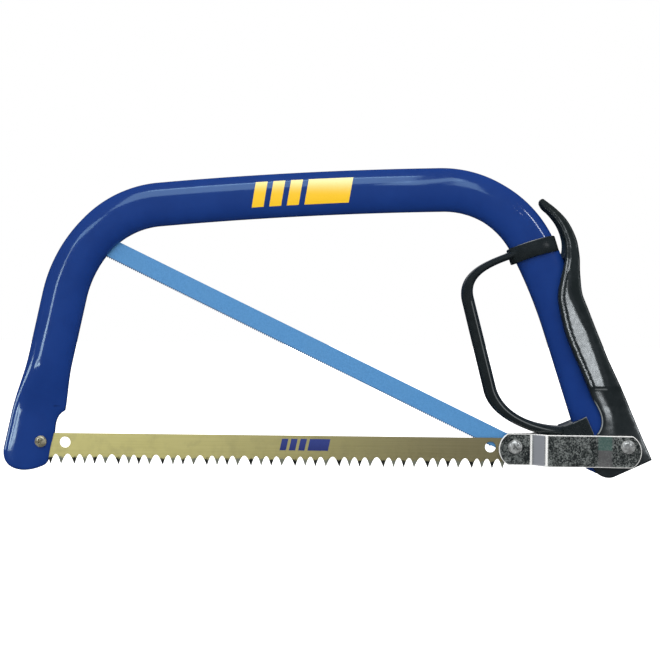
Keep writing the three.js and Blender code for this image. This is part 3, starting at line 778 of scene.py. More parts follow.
def tube_marks():
    """Three slanted bars and a long stripe: a plain mark that spells nothing."""
    # The yellow ink is painted paler towards the top of the tube, where the highlight band crosses it: a
    # painted highlight.
    z_low, z_high = place([(0, 0, 157), (0, 0, 170)])[:, 2]
    yellow = ink("yellow_ink_with_painted_highlight", (1.0, 0.60, 0.008), (1.0, 0.93, 0.45), z_low, z_high)
    at, low, high, lean = 273.4, -7.2, 8.6, 3.6
    for i, width in enumerate((7.5, 7.5, 7.5, 28.0)):
        corners = [(at, low), (at + width, low), (at + width + lean, high), (at + lean, high)]
        finish(tube_patch(f"tube_mark_{i + 1}", corners), yellow, "frame", "powder_coat")
        at += width + 3.6


tube_marks()


# ------------------------------------------------------------------ screws, nuts and pins

def cross_cut(obj, centre, top, depth, reach):
    """Cuts a cross recess into a head that faces the near side."""
    tools = []
    for turn in (38, 128):
        tools.append(prism("arm", box_at(centre, turn, -reach, -0.42, reach, 0.42), top - 1, top + depth))
    tools.append(turned("well", centre, [(1.15, top - 1), (1.0, top + depth * 0.5), (0.2, top + depth)], 24))
    return combine(obj, tools, sharp=30)


def head_profile(head, radius, seat, shank, tail, roundness=10):
    """A domed pan head that faces the near side, then its shank with a chamfered end."""
    profile = [(0.0, seat - head)]
    for i in range(1, roundness + 1):
        angle = math.pi / 2 * i / roundness
        profile.append((radius * math.sin(angle) ** 0.8, seat - head * (0.25 + 0.75 * math.cos(angle))))
    profile += [(radius, seat - 0.25), (radius - 0.25, seat), (shank, seat), (shank, tail - 0.5)]
    profile += [(shank - 0.5, tail), (0.0, tail)]
    return profile


def screws():
    """The front screw and the link screw."""
    near, far = extent("front_screw")
    head = head_profile(1.95, 3.7, -FLAT_DEPTH / 2 - 0.05, 2.0, far[1])
    screw = turned("front_screw_head", FRONT, head)
    cross_cut(screw, FRONT, near[1], 1.4, 1.9)
    finish(screw, BRASSY, "frame", "bright_steel", "front_screw")
    near, far = extent("link_screw")
    seat = -3.35
    screw = turned("link_screw_head", LINK_SCREW, head_profile(-near[1] + seat, 4.5, seat, 2.0, far[1]))
    cross_cut(screw, LINK_SCREW, near[1], 1.6, 2.2)
    finish(screw, STEEL, "links", "bright_steel", "link_screw")


def hex_nut(name, node, centre, body):
    """A chamfered nut that fills the CAD nut's box."""
    low, high = extent(node)
    flats = 7.0
    corners = [
        (centre[0] + flats / math.sqrt(3) * math.cos(a), centre[1] + flats / math.sqrt(3) * math.sin(a))
        for a in np.radians(np.arange(0, 360, 60))
    ]
    made = prism(name, corners, low[1], high[1])
    bowl = turned("bowl", centre, [
        (flats / 2 - 0.1, low[1]), (4.3, low[1] + 0.5), (4.3, high[1] - 0.5), (flats / 2 - 0.1, high[1]),
    ])
    combine(made, [bowl], "INTERSECT")
    combine(made, [drill(centre, 2.1, low[1] - 1, high[1] + 1)])
    finish(made, ZINC_PALE, body, "zinc_plate", node)


def guard_screws():
    """The two screws on the far side that hold the guard."""
    for name, node, centre in zip(
        ("guard_band_screw_head", "guard_saddle_screw_head"),
        ("guard_band_screw", "guard_saddle_screw"),
        GUARD_SCREWS,
    ):
        low, high = extent(node)
        seat = high[1] - 1.9
        profile = [(0, low[1]), (1.5, low[1] + 2), (1.5, seat), (3.1, seat), (3.1, seat + 0.6)]
        for i in range(1, 9):
            angle = math.pi / 2 * i / 8
            profile.append((3.1 * math.cos(angle), seat + 0.6 + 1.3 * math.sin(angle)))
        made = turned(name, centre, profile)
        tools = [
            prism("arm", box_at(centre, turn, -1.5, -0.35, 1.5, 0.35), high[1] - 1.0, high[1] + 1)
            for turn in (20, 110)
        ]
        combine(made, tools)
        finish(made, ZINC_PALE, "frame", "zinc_plate", node)


def rivet(name, node, side):
    """A domed rivet; side is -1 for the near one and 1 for the far one."""
    low, high = extent(node)
    outer, inner = (low[1], high[1]) if side < 0 else (high[1], low[1])
    seat = outer - side * 2.3
    profile = [(0.0, outer)]
    for i in range(1, 13):
        angle = math.pi / 2 * i / 12
        profile.append((4.4 * math.sin(angle), seat + side * 2.3 * math.cos(angle) ** 0.9))
    profile += [(2.3, seat), (2.3, inner + side * 1.0), (3.3, inner), (0.0, inner)]
    if side > 0:
        profile = profile[::-1]
    made = turned(name, LINK_PIVOT, profile)
    finish(made, STEEL, "links", "bright_steel", node)


screws()
hex_nut("front_nut_hex", "front_nut", FRONT, "frame")
hex_nut("link_nut_hex", "link_nut", LINK_SCREW, "links")
guard_screws()
rivet("near_rivet", "link_rivet_near", -1)
rivet("far_rivet", "link_rivet_far", 1)
for node, material in {
    "anchor_bracket": ZINC_PALE, "anchor_pin": STEEL, "fulcrum_pin": STEEL, "fulcrum_bush": ZINC_PALE,
    "link_washer_near": ZINC_PALE, "link_washer_far": ZINC_PALE,
}.items():
    part = frame["nodes"][node]
    part.data.materials.clear()
    part.data.materials.append(material)


# ------------------------------------------------------------------ the blades

TOOTH_GROUP, TOOTH_STEPS, FIRST_GROUP, LAST_TIP, ROOT = 28.03, (0, 6.4, 12.8, 19.4), -7.1, 292.8, -8.9
BLADE_HOLES = [(14.8, -0.6), (284.9, -0.6)]
SLOT_RADIUS, SLOT_BACK, SLOT_FORWARD = 3.8, 3.9, 4.2


def slot_tool(origin, heading, near, far):
    """A cutter for a blade's loose eye at the link screw."""
    arc = np.linspace(-math.pi / 2, math.pi / 2, 16)
    right = [(300 + SLOT_FORWARD + SLOT_RADIUS * math.cos(a), SLOT_RADIUS * math.sin(a)) for a in arc]
    left = [(300 - SLOT_BACK - SLOT_RADIUS * math.cos(a), -SLOT_RADIUS * math.sin(a)) for a in arc]
    return prism("eye", set_at(origin, heading, right + left), near, far)


def toothed_outline(left, right, tip, top):
    """The bow blade's outline, and where its teeth's tips are."""
    tips = [FIRST_GROUP + TOOTH_GROUP * g + s for g in range(12) for s in TOOTH_STEPS]
    tips = [x for x in tips if left + 2 < x <= LAST_TIP]
    outline = [np.array([[left, top], [left, ROOT], [tips[0] - 1.9, ROOT]])]
    for x, next_x in zip(tips, tips[1:]):
        middle, reach = (x + next_x) / 2, (next_x - x) / 2
        crest = ROOT + (0.75 if next_x - x < 7.5 else 0.95)
        outline.append(np.array([[x - 0.18, tip], [x + 0.18, tip]]))
        outline.append(curve((x + 0.18, tip), (x + 0.35 * reach, tip + 3.2),
                             (x + 0.62 * reach, crest), (middle, crest), 6))
        outline.append(curve((middle, crest), (next_x - 0.62 * reach, crest),
                             (next_x - 0.35 * reach, tip + 3.2), (next_x - 0.18, tip), 6)[:-1])
    last = tips[-1]
    outline.append(np.array([[last - 0.18, tip], [last + 0.18, tip]]))
    outline.append(np.array([[last + 1.9, ROOT], [right, ROOT], [right, top]]))
    return np.concatenate(outline), np.array(tips)


def wood_blade():
    """The bow blade, with teeth ground from alternate sides."""
    low, high = extent("wood_blade")
    near_y, far_y = low[1], high[1]
    outline, tips = toothed_outline(low[0], high[0], low[2], high[2])

    def side_of(points):
        """Which way each point's nearest tooth is ground: 0 to the near side, 1 to the far side."""
        return np.argmin(np.abs(points[:, :1] - tips[None]), 1) % 2

    def grind(points, depth):
        toothed = (points[:, 1] < ROOT + 0.4).astype(float)
        return toothed * 0.36 * np.clip(1 - depth / 1.15, 0, 1)

    def near(points, depth):
        return near_y + np.where(side_of(points) == 0, grind(points, depth), 0)

    def far(points, depth):
        return far_y - np.where(side_of(points) == 1, grind(points, depth), 0)

    def only_teeth(points):
        return points[:, 1] < ROOT + 1

    blade = thick("bow_blade", outline, near, far, 0.06, 0.85, 20, only_teeth)
    tools = [drill(at, 3.45, near_y - 1, far_y + 1, 56) for at in (FRONT, *BLADE_HOLES)]
    tools.append(slot_tool(FRONT, 0, near_y - 1, far_y + 1))
    combine(blade, tools, sharp=20)
    mark(blade, "ground", np.where(side_of(vertices(blade)[:, [0, 2]]) == 0, 0.8, 0.0))
    return finish(blade, gold_lacquer(), "wood_blade", "gold_lacquer", "wood_blade")


def hacksaw_blade():
    """The fine blade, on the diagonal."""
    low, high = extent("hacksaw_blade")
    back, edge, end = 5.4, 6.8, 5.8
    right = 300 + SLOT_FORWARD + SLOT_RADIUS + 2
    pitch, depth = 1.41, 0.75
    gullet = -edge + depth
    local = [(right, back), (-end, back), (-end, gullet)]
    for x in np.arange(14, 286, pitch):
        local += [(x, gullet), (x + pitch * 0.78, -edge)]
    local += [(287, gullet), (right, gullet)]
    local = densify(np.array(local), 6)
    blade = prism("fine_blade", set_at(ANCHOR, -BLADE_SLOPE, local), low[1], high[1], 30)
    tools = [
        drill(ANCHOR, 2.7, low[1] - 1, high[1] + 1),
        slot_tool(ANCHOR, -BLADE_SLOPE, low[1] - 1, high[1] + 1),
    ]
    combine(blade, tools, sharp=30)
    return finish(blade, blue_paint(), "hacksaw_blade", "blue_paint", "hacksaw_blade")


def blade_marks():
    """Small slanted blocks printed on the bow blade."""
    near = extent("wood_blade")[0][1]
    # The blue ink is painted lighter towards the top: a painted highlight.
    z_low, z_high = place([(0, 0, -6), (0, 0, 3)])[:, 2]
    blue = ink("blue_ink_with_painted_highlight", (0.018, 0.03, 0.17), (0.03, 0.05, 0.24), z_low, z_high)
    at = 151.0
    for i, width in enumerate((4.0, 4.0, 4.0, 13.0)):
        corners = [(at, -4.2), (at + width, -4.2), (at + width + 1.6, 3.2), (at + 1.6, 3.2)]
        block = prism(f"blade_mark_{i + 1}", corners, near - 0.03, near + 0.1)
        finish(block, blue, "wood_blade", "gold_lacquer")
        at += width + 1.9


wood_blade()
hacksaw_blade()
blade_marks()


# ------------------------------------------------------------------ the links

PLATE_INNER = [(290, 1.3), (311, 1.3), (319.4, 9.0), (350.4, 9.0), (359.7, 10.0), (380, 10.0)]


def plate_height(x, soften=1.1):
    """The inner face's distance from the blade plane, with the bends rounded."""
    xs, ys = zip(*PLATE_INNER)
    offsets = np.linspace(-soften, soften, 9)
    weights = 1 - np.abs(offsets) / (soften * 1.15)
    total = sum(w * np.interp(x + d, xs, ys) for d, w in zip(offsets, weights))
    return total / weights.sum()


def link_plate(name, node, side):
    """A joggled link plate; side is -1 for the near one and 1 for the far one."""
    low, high = extent(node)
    left, right, bottom, top = low[0], high[0], low[2], high[2]
    radius = 11.5
    middle, half = (top + bottom) / 2, (top - bottom) / 2
    sweep = math.asin(half / radius)
    bow = np.linspace(-sweep, sweep, 28)
    ends = [(right - radius + radius * math.cos(a), middle + radius * math.sin(a)) for a in bow]
    ends += [(left + radius - radius * math.cos(a), middle - radius * math.sin(a)) for a in bow]

    def inner(points, depth):
        return side * plate_height(points[:, 0])

    def outer(points, depth):
        slope = np.gradient(plate_height(np.arange(280, 390, 0.25)), 0.25)
        lean = np.interp(points[:, 0], np.arange(280, 390, 0.25), slope)
        shifted = plate_height(points[:, 0] + PLATE_THICKNESS * lean / np.sqrt(1 + lean ** 2))
        return side * (shifted + PLATE_THICKNESS / np.sqrt(1 + lean ** 2))

    near, far = (outer, inner) if side < 0 else (inner, outer)
    plate = thick(name, ends, near, far, 0.45, 0.9, 40)
    combine(plate, [drill(LINK_SCREW, SCREW_HOLE, -20, 20), drill(LINK_PIVOT, RIVET_HOLE, -20, 20)], sharp=40)
    points = vertices(plate)
    depth = distance_to(points[:, [0, 2]], densify(np.array(ends), 1.0))
    # Painted highlights on the rims and the two bends ("rim"), a painted pale reflection on the first joggle
    # ("band") and a painted tinted reflection on the second ("step").
    rim = 1 - smoothstep(depth, 0.15, 0.7)
    x = points[:, 0]
    bends = np.maximum(np.exp(-((x - 310.2) / 0.7) ** 2), np.exp(-((x - 318.4) / 0.8) ** 2))
    mark(plate, "rim", np.clip(np.maximum(0.9 * rim, bends), 0, 1))
    mark(plate, "band", smoothstep(x, 310.8, 311.6) * (1 - smoothstep(x, 317.0, 317.8)))
    mark(plate, "step", smoothstep(x, 350.2, 350.8) * (1 - smoothstep(x, 358.6, 359.2)))
    return finish(plate, ZINC, "links", "zinc_plate", node)


link_plate("near_plate", "link_plate_near", -1)
link_plate("far_plate", "link_plate_far", 1)


# ------------------------------------------------------------------ the lever

def lever_edges():
    """The lever's back edge from its foot to the horn's tip, and its front edge back down."""
    back = [(385.2, -6.9), (379.9, 5.7), (368.9, 30.6), (357.1, 55.6), (342.2, 91.5)]
    back += [tuple(p) for p in through([
        (342.2, 91.5), (339.9, 98), (338.9, 108), (338.9, 120), (337.9, 129.5),
        (335, 137.5), (330.5, 144.8), (324, 151.3), (317.4, 156.4)])[1:]]
    tip = curve((317.4, 156.4), (315.8, 158.2), (314, 156.6), (314.3, 154.6), 8)
    front = [tuple(p) for p in through([
        (314.3, 154.6), (316.4, 151.2), (321, 147), (325.8, 140.8), (328.8, 134), (330.1, 127),
        (329.2, 117.5), (326.4, 105.4), (325, 97), (325.6, 89.5), (330.2, 71), (340.6, 46.7),
        (347.4, 31)])[1:]]
    front += [tuple(p) for p in curve((347.4, 31), (351, 25), (357, 17), (350.4, 8.8), 16)]
    front = through(front, 2)
    return np.array(back), tip, front


def lever_rails(front, back):
    """Points along the bead, the crease and the step at the foot of the grip."""
    ahead = np.roll(front, -1, 0) - np.roll(front, 1, 0)
    inward = np.stack([-ahead[:, 1], ahead[:, 0]], 1) / np.linalg.norm(ahead, axis=1)[:, None]
    grip = (front[:, 1] > 38) & (front[:, 1] < 112)
    points = []
    for depth in (2.1, 2.5, 2.9, 3.3, 3.7):
        points.append(front[grip] + inward[grip] * depth)
    rows = np.arange(38.5, 112, 1.0)
    low, high = np.argsort(front[:, 1]), np.argsort(back[:, 1])
    near_x = np.interp(rows, front[low, 1], front[low, 0])
    far_x = np.interp(rows, back[high, 1], back[high, 0])
    crease = near_x + (far_x - near_x) * np.interp(rows, *zip(*CREASE))
    for shift in (-0.4, 0.4):
        points.append(np.stack([crease + shift, rows], 1))
    across = np.arange(335, 372, 0.9)
    for z in (36.6, 37.4, 38.2, 39.0):
        points.append(np.stack([across, np.full(len(across), z)], 1))
    return np.concatenate(points)


GRIP_FOOT, HORN_ROOT = (36.8, 38.6), (106, 114)
BEAD_WIDTH, FACET_SLOPE, LUG, LEVER_GAP = 3.0, 0.215, 10.6, 0.2
CREASE = [
    (-30, 0.45), (37, 0.48), (44, 0.55), (58, 0.62), (74, 0.655), (90, 0.51), (98.5, 0.38), (108, 0.33),
    (114, 0.22), (160, 0.22),
]
GRIP_WIDTHS = [
    (-30, 8.7), (14, 8.7), (26, 9.2), (36.5, 10.4), (39, 11.2), (88, 11.2), (104, 10.0), (112, 9.0),
    (119, 8.3), (126, 6.4), (134, 5.4), (152, 4.6), (159, 3.8),
]


def lever_half(points, front, rear):
    """Half the lever's width across the saw at points (x, z)."""
    z = points[:, 1]
    full = np.interp(z, *zip(*GRIP_WIDTHS))
    ahead = distance_to(points, front, closed=False)
    width = ahead + distance_to(points, rear, closed=False)
    t = ahead / (width + 1e-6)
    grip = smoothstep(z, *GRIP_FOOT) * (1 - smoothstep(z, *HORN_ROOT))
    reach = np.maximum(np.interp(z, *zip(*CREASE)) * width - BEAD_WIDTH, 0)
    facet = FACET_SLOPE * np.clip(ahead - BEAD_WIDTH, 0, reach)
    groove = 0.4 * np.exp(-((ahead - 2.8) / 0.5) ** 2)
    cheek = (1 - smoothstep(z, *GRIP_FOOT)) * smoothstep(z, -4, 6) * 1.1 * smoothstep(t, 0.06, 0.42)
    horn = smoothstep(z, *HORN_ROOT) * 0.9 * smoothstep(t, 0.06, 0.38)
    round_back = 0.25 * smoothstep(t, 0.8, 1.0) ** 2
    return full - grip * (facet + groove) - cheek - horn - round_back


def lever_tools():
    """Cutters for the tube's channel, the room its end needs and the pin holes."""
    reach = TUBE_WIDTH / 2 + LEVER_GAP
    wall = [(250, 170)]
    for x, z, heading, _, _ in bow_path(60)[REAR_STATION:]:
        c, s = toward(heading)
        wall.append((x - reach * s, z + reach * c))
    wall.append((250, -90))
    flare = [(4.5, -THROUGH), (4.5, -8.2), (PIN_HOLE, -7.2), (PIN_HOLE, 7.2), (4.5, 8.2), (4.5, THROUGH)]
    return [
        prism("channel", wall[::-1], -CHEEK_INNER, CHEEK_INNER),
        drill(FULCRUM, reach, -CHEEK_INNER, CHEEK_INNER, 96),
        drill(FULCRUM, PIN_HOLE, -THROUGH, THROUGH, 48),
        drill(LINK_PIVOT, RIVET_HOLE, -THROUGH, THROUGH, 48),
        drill(LINK_PIVOT, 3.7, -7.3, 7.3, 48),
        turned("flare", FULCRUM, flare, 48),
    ]


def lever_marks(made, front, rear):
    """Marks painted highlights along the lever's edges, bead and grip step, and its dull back."""
    points = vertices(made)
    flat, z = points[:, [0, 2]], points[:, 2]
    ahead = distance_to(flat, front, closed=False)
    width = ahead + distance_to(flat, rear, closed=False)
    t = ahead / (width + 1e-6)
    outside = smoothstep(np.abs(points[:, 1]), 6.0, 8.0)
    # Painted highlights: pale lines round the mouth at the fulcrum, along the grip's bead and across the step
    # at the grip's foot.
    mouth = 0.8 * np.exp(-((ahead - 0.3) / 0.35) ** 2) * (1 - smoothstep(z, 27, 33)) * smoothstep(z, 2, 6)
    bead = 0.6 * np.exp(-((ahead - 1.7) / 0.5) ** 2) * smoothstep(z, 42, 60) * (1 - smoothstep(z, 100, 116))
    step = 0.5 * np.exp(-((z - 37.2) / 0.7) ** 2) * smoothstep(t, 0.12, 0.2) * (1 - smoothstep(t, 0.5, 0.62))
    mark(made, "rim", outside * np.maximum(mouth, np.maximum(bead, step)))
    crease = np.interp(z, *zip(*CREASE))
    mark(made, "matt", smoothstep(t, crease + 0.08, crease + 0.22) * smoothstep(z, 30, 40))


def lever_piece():
    """The lever moulding: horn, hand grip and fulcrum cheeks."""
    back, tip, front = lever_edges()
    arc = np.radians(np.linspace(160, 285, 40))
    foot = np.stack([FULCRUM[0] + LUG * np.cos(arc), FULCRUM[1] + LUG * np.sin(arc)], 1)
    outline = np.concatenate([foot, back, tip, front])
    rear = np.concatenate([back, tip])

    def near(points, depth):
        return -lever_half(points, front, rear)

    def far(points, depth):
        return lever_half(points, front, rear)

    made = thick("lever_moulding", outline, near, far, 0.9, 1.1, 50, rails=lever_rails(front, back))
    for tool in lever_tools():
        combine(made, [tool], sharp=50)
    lever_marks(made, front, rear)
    return finish(made, GRIP_BLACK, "lever", "black_moulding", "lever")


LEVER = lever_piece()


# ------------------------------------------------------------------ the knuckle guard

def resample(path, count):
    """Evenly spaced points along a path."""
    steps = np.concatenate([[0], np.cumsum(np.linalg.norm(np.diff(path, axis=0), axis=1))])
    at = np.linspace(0, steps[-1], count)
    return np.stack([np.interp(at, steps, path[:, k]) for k in (0, 1)], 1)


def guard_edges(count=110):
    """The bar's outer and inner edges, from the strap to the saddle."""
    outer = np.concatenate([
        [(298, 125), (292.9, 122.2)],
        curve((292.9, 122.2), (279.4, 117), (262.8, 110), (265.8, 92.8), 20),
        [(280, 36.6)],
        curve((280, 36.6), (283.0, 19.8), (302, 10.9), (326, 5.4), 20),
        [(338, 3.4)],
    ])
    inner = np.concatenate([
        [(301, 120.4), (296, 118.6)],
        curve((296, 118.6), (279.8, 112.6), (270.9, 106.6), (272.6, 95.7), 20),
        [(287.9, 36.9)],
        curve((287.9, 36.9), (291.2, 26.4), (300.4, 19.4), (312.1, 15.8), 20),
        curve((312.1, 15.8), (320, 13.6), (330, 12.2), (338, 14.5), 8),
    ])
    return resample(outer, count), resample(inner, count)


def guard_bar():
    """The bar as rings between its two edges, with a rib along its leg."""
    rows = []
    power = 3.2
    angle = np.linspace(0, 2 * math.pi, 96, endpoint=False)
    u = np.sign(np.cos(angle)) * np.abs(np.cos(angle)) ** (2 / power)
    v = np.sign(np.sin(angle)) * np.abs(np.sin(angle)) ** (2 / power)
    for outer, inner in zip(*guard_edges()):
        middle, across = (outer + inner) / 2, (inner - outer) / 2
        rib = float(smoothstep(-middle[1], -93, -90)) * float(smoothstep(middle[1], 30, 36))
        crown = 1 - 0.13 * np.abs(u - 0.25) ** 1.2 + 0.03 * rib * (np.exp(-((u - 0.25) / 0.07) ** 2) - 1)
        rows.append(np.stack([middle[0] + across[0] * u, -7.0 * v * crown, middle[1] + across[1] * u], 1))
    return rings("guard_moulding", rows, 50)


def guard_saddle():
    """The block that sits on the tube at the bar's lower end."""
    outline = np.concatenate([
        [(329, 7.2), (345.4, 3), (348.6, 9.1), (343.8, 19.9)],
        curve((343.8, 19.9), (340, 17.8), (335.5, 15.4), (329.5, 13.4), 8),
    ])
    return thick("saddle", outline, steady(-CHEEK_OUTER), steady(CHEEK_OUTER), 0.9, 1.0, 50)


BAND_CENTRE, BAND_HEIGHT, BAND_BOW = (309.8, 124.2), 10.2, 1.0


def band_row(along, half_width, half_depth, middle=0.0):
    """A ring round the tube, at a distance along it from the band's centre, bowed up in the middle."""
    c, s = toward(REAR_HEADING)
    x, z = BAND_CENTRE[0] + along * c, BAND_CENTRE[1] + along * s
    row = section((x, z, REAR_HEADING), middle + half_width, middle - half_width, half_depth, TUBE_POWER)
    across = -(row[:, 0] - x) * s + (row[:, 2] - z) * c
    lift = BAND_BOW * (1 - (across / 16.3) ** 2)
    row[:, 0] -= lift * c
    row[:, 2] -= lift * s
    return row


def guard_band():
    """The strap that grips the tube."""
    steps = ((-0.5, 0.8), (-0.475, 0.3), (-0.43, 0.0), (0, 0.0), (0.43, 0.0), (0.475, 0.3), (0.5, 0.8))
    rows = [band_row(part * BAND_HEIGHT, 15.7 - inset, 8.9 - inset, 0.6) for part, inset in steps]
    return rings("band", rows, 50)


def guard_tongue():
    """The short tail of the strap down the tube's outer edge."""
    rows = [
        band_row(along, half_width, half_depth, middle)
        for along, half_width, half_depth, middle in (
            (2.0, 2.4, 5.0, 13.5), (6.0, 2.3, 4.6, 13.5), (10.0, 2.0, 4.0, 13.6), (13.4, 1.5, 3.0, 13.8),
            (14.4, 0.9, 2.0, 13.8))
    ]
    return rings("tongue", rows, 50)


def tube_clearance():
    """The tube with a small gap round it, cut out of the guard."""
    rows = []
    for station in bow_path(20)[REAR_STATION:]:
        half_width, half_depth, power = section_sizes(station, 0.3)
        rows.append(section(station, half_width, -half_width, half_depth, power))
    return rings("clearance", rows)


def knuckle_guard():
    """The guard moulding: strap, bar and saddle in one."""
    guard = guard_bar()
    combine(guard, [guard_saddle(), guard_band(), guard_tongue()], "UNION", 50)
    tools = [tube_clearance()]
    tools += [drill(at, GUARD_HOLE, 0, 14, 32) for at in GUARD_SCREWS]
    combine(guard, tools, sharp=50)
    points = vertices(guard)
    c, s = toward(REAR_HEADING)
    offset = points[:, [0, 2]] - BAND_CENTRE
    along = offset @ (c, s) + BAND_BOW
    on_band = (np.abs(points[:, 1]) > 3) & (np.abs(offset @ (-s, c)) < 16.5)
    # Painted highlights: pale lines along the strap's top edge, the saddle's seam and the bar's ridge, marked
    # as "rim".
    top = np.exp(-((along + 0.49 * BAND_HEIGHT) / 0.5) ** 2) * on_band
    seam = distance_to(points[:, [0, 2]], [(335.5, 15.9), (343.8, 19.9), (348.6, 9.1)], False)
    saddle = np.exp(-(seam / 0.45) ** 2) * (np.abs(points[:, 1]) > 7.8)
    outer, inner = guard_edges()
    ridge = outer + (inner - outer) * 0.63
    line = np.exp(-(distance_to(points[:, [0, 2]], ridge[ridge[:, 1] < 92], False) / 0.4) ** 2)
    line *= (np.abs(points[:, 1]) > 4.5) * (1 - smoothstep(points[:, 0], 318, 330))
    mark(guard, "rim", np.clip(0.6 * (top + saddle) + 0.5 * line, 0, 1))
    return finish(guard, GUARD_BLACK, "frame", "black_moulding", "knuckle_guard")


GUARD = knuckle_guard()


# ------------------------------------------------------------------ stage, light and camera

FLOOR_DROP = 0.11


def floor():
    """A plain white floor that the open lever swings clear of, and that reflections see as darker."""
    bottom = CAD_BOX[0][2] - FLOOR_DROP
    size = 12.0
    mesh = bpy.data.meshes.new("floor")
    corners = [(-size, -size, bottom), (size, -size, bottom), (size, size, bottom), (-size, size, bottom)]
    mesh.from_pydata(corners, [], [(0, 1, 2, 3)])
    obj = bpy.data.objects.new("floor", mesh)
    bpy.context.scene.collection.objects.link(obj)
    paint = Paint("pale_floor")
    path = paint.node("ShaderNodeLightPath")
    seen = path.outputs["Is Camera Ray"]
    bounced = paint.mix(path.outputs["Is Glossy Ray"], (0.4, 0.4, 0.4), (0.004, 0.009, 0.02))
    paint.set(
        Base_Color=paint.mix(seen, bounced, (0.8, 0.8, 0.8)),
        Emission_Color=paint.mix(seen, (0.0, 0.0, 0.0), (0.72, 0.72, 0.72)),
        Emission_Strength=1.0,
        Roughness=0.9,
        Specular_IOR_Level=0.0,
    )
    mesh.materials.append(paint.material)


def world():
    """A white room that glossy surfaces see as dim."""
    made = bpy.data.worlds.new("studio")
    bpy.context.scene.world = made
    made.use_nodes = True
    nodes, links = made.node_tree.nodes, made.node_tree.links
    background = nodes["Background"]
    path = nodes.new("ShaderNodeLightPath")
    previous = None
    for ray, colour in (("Is Glossy Ray", (0.012, 0.034, 0.075, 1)), ("Is Camera Ray", (1, 1, 1, 1))):
        mix = nodes.new("ShaderNodeMix")
        mix.data_type = "RGBA"
        mix.inputs[6].default_value = (1.15, 1.15, 1.15, 1)
        mix.inputs[7].default_value = colour
        links.new(path.outputs[ray], mix.inputs[0])
        if previous:
            links.new(previous, mix.inputs[6])
        previous = mix.outputs[2]
    links.new(previous, background.inputs["Color"])


AIM = (182, 0, 72)


def panel(name, start, end, width, radiance, depth=-1200, pieces=(), fill=False):
    """A soft light whose middle line runs between two points in (x, z), at a depth in y. It faces the
    saw, and lights only some pieces if they are given. A fill panel lights matt surfaces and isn't
    reflected; any other is seen only in reflections."""
    ends = [Vector(place([(x, depth, z)])[0]) for x, z in (start, end)]
    middle = (ends[0] + ends[1]) / 2
    back = (middle - Vector(place([AIM])[0])).normalized()
    side = ends[1] - ends[0]
    side = (side - back * side.dot(back)).normalized()
    data = bpy.data.lights.new(name, "AREA")
    data.shape = "RECTANGLE"
    data.size, data.size_y = (ends[1] - ends[0]).length, width / 1000
    strength = max(radiance)
    data.color = [value / strength for value in radiance]
    data.energy = strength * math.pi * data.size * data.size_y
    obj = bpy.data.objects.new(name, data)
    bpy.context.scene.collection.objects.link(obj)
    turn = Matrix((side, back.cross(side), back)).transposed()
    obj.matrix_world = Matrix.Translation(middle) @ turn.to_4x4()
    obj.visible_diffuse = fill
    obj.visible_glossy = not fill
    if pieces:
        group = bpy.data.collections.new(name + "_pieces")
        for piece in pieces:
            group.objects.link(piece)
        obj.light_linking.receiver_collection = group


SKY, COOL, WHITE = (np.array(c) for c in ((1.85, 2.95, 3.75), (6.0, 8.0, 8.6), (9.0, 9.6, 10.0)))

# Each row is a panel's name, the ends of its middle line in (x, z), its width and its radiance.
TUBE_LIGHTS = [
    ("tube_top", (-430, 778), (352, 778), 515, 0.9 * SKY),
    ("tube_top_rim", (-330, 1020), (352, 1020), 75, 1.3 * SKY),
    ("tube_top_bend", (352, 650), (440, 600), 420, 0.95 * SKY),
    ("tube_top_end", (440, 570), (542, 555), 300, 0.9 * SKY),
    ("tube_left_bend", (-640, 480), (-380, 410), 90, 1.2 * SKY),
    ("tube_left_high", (-610, 440), (-585, 290), 45, 0.6 * COOL),
    ("tube_left", (-570, 290), (-600, 95), 75, COOL),
    ("tube_left_low", (-610, 95), (-860, -60), 100, COOL),
    ("tube_left_foot", (-860, -60), (-780, -330), 100, COOL),
    ("tube_left_end", (-700, -75), (-600, -185), 150, 1.3 * COOL),
    ("tube_left_far", (-2000, 140), (-1700, -260), 450, COOL),
    ("tube_right", (1040, 770), (1260, 590), 90, 1.6 * WHITE),
    ("tube_spot", (692, 461), (704, 457), 11, 1.6 * WHITE),
]
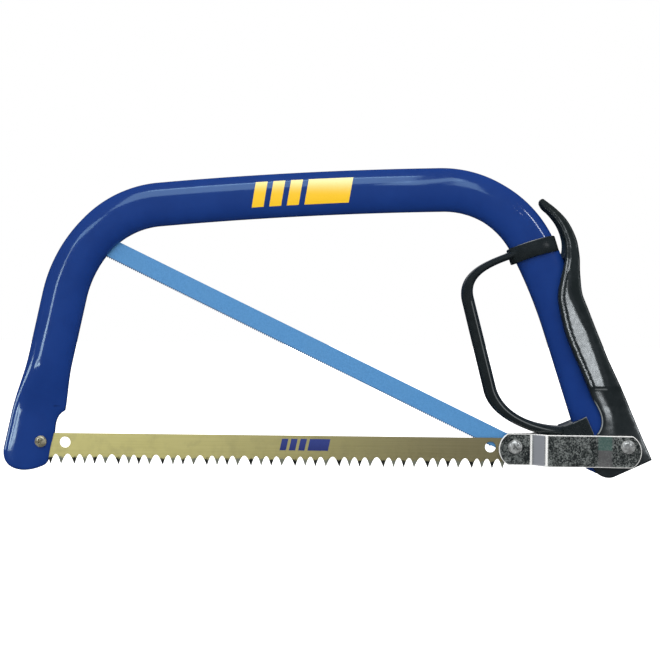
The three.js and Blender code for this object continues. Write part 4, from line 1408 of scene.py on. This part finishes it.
GUARD_LIGHTS = [("guard_right", (1080, 650), (1250, 250), 200, (3, 3.1, 3.2))]
LEVER_LIGHTS = [
    ("grip_low", (1380, -80), (1250, 370), 220, 2.2 * WHITE),
    ("grip_middle", (1240, 390), (1130, 670), 150, 2.2 * WHITE),
    ("grip_top", (1120, 690), (990, 830), 120, 2.2 * WHITE),
]
OTHER_LIGHTS = [
    ("left_panel", (-900, 700), (-1050, 50), 300, (3, 3.1, 3.2)),
    ("right_panel", (1080, 650), (1250, 250), 200, (4, 4.1, 4.2)),
    ("top_panel", (-300, 900), (700, 900), 400, (3, 3.1, 3.2)),
]


def lights():
    """Panels that set the highlights on each group of pieces, a dim one behind and a wide key."""
    others = [
        obj for obj in bpy.context.scene.objects
        if obj.type == "MESH" and obj not in (TUBE, LEVER, GUARD) and obj.name != "floor"
    ]
    groups = [([TUBE], TUBE_LIGHTS), ([GUARD], GUARD_LIGHTS), ([LEVER], LEVER_LIGHTS), (others, OTHER_LIGHTS)]
    for pieces, rows in groups:
        for row in rows:
            panel(*row, pieces=pieces)
    panel("back_panel", (-500, 700), (860, 700), 600, (0.5, 0.5, 0.5), depth=1300)
    panel("key", (-700, 1500), (700, 1500), 1400, (2.3, 2.3, 2.3), depth=-1500, fill=True)


def camera():
    """The photograph's viewpoint: square on to the saw's side and close to it."""
    data = bpy.data.cameras.new("camera")
    data.sensor_width = 36
    distance, view_width, roll = 600.0, 419.6, math.radians(0.65)
    data.lens = data.sensor_width * distance / view_width
    data.clip_start, data.clip_end = 0.01, 50
    obj = bpy.data.objects.new("camera", data)
    bpy.context.scene.collection.objects.link(obj)
    at = place([(182.2, -distance, 72.5)])[0]
    right = Vector((math.cos(roll), 0, math.sin(roll)))
    up = Vector((-math.sin(roll), 0, math.cos(roll)))
    back = Vector((0, -1, 0))
    turn = Matrix((right, up, back)).transposed()
    obj.matrix_world = Matrix.Translation(Vector(at)) @ turn.to_4x4()
    bpy.context.scene.camera = obj


floor()
world()
lights()
camera()
bpy.context.scene.view_settings.view_transform = "Standard"
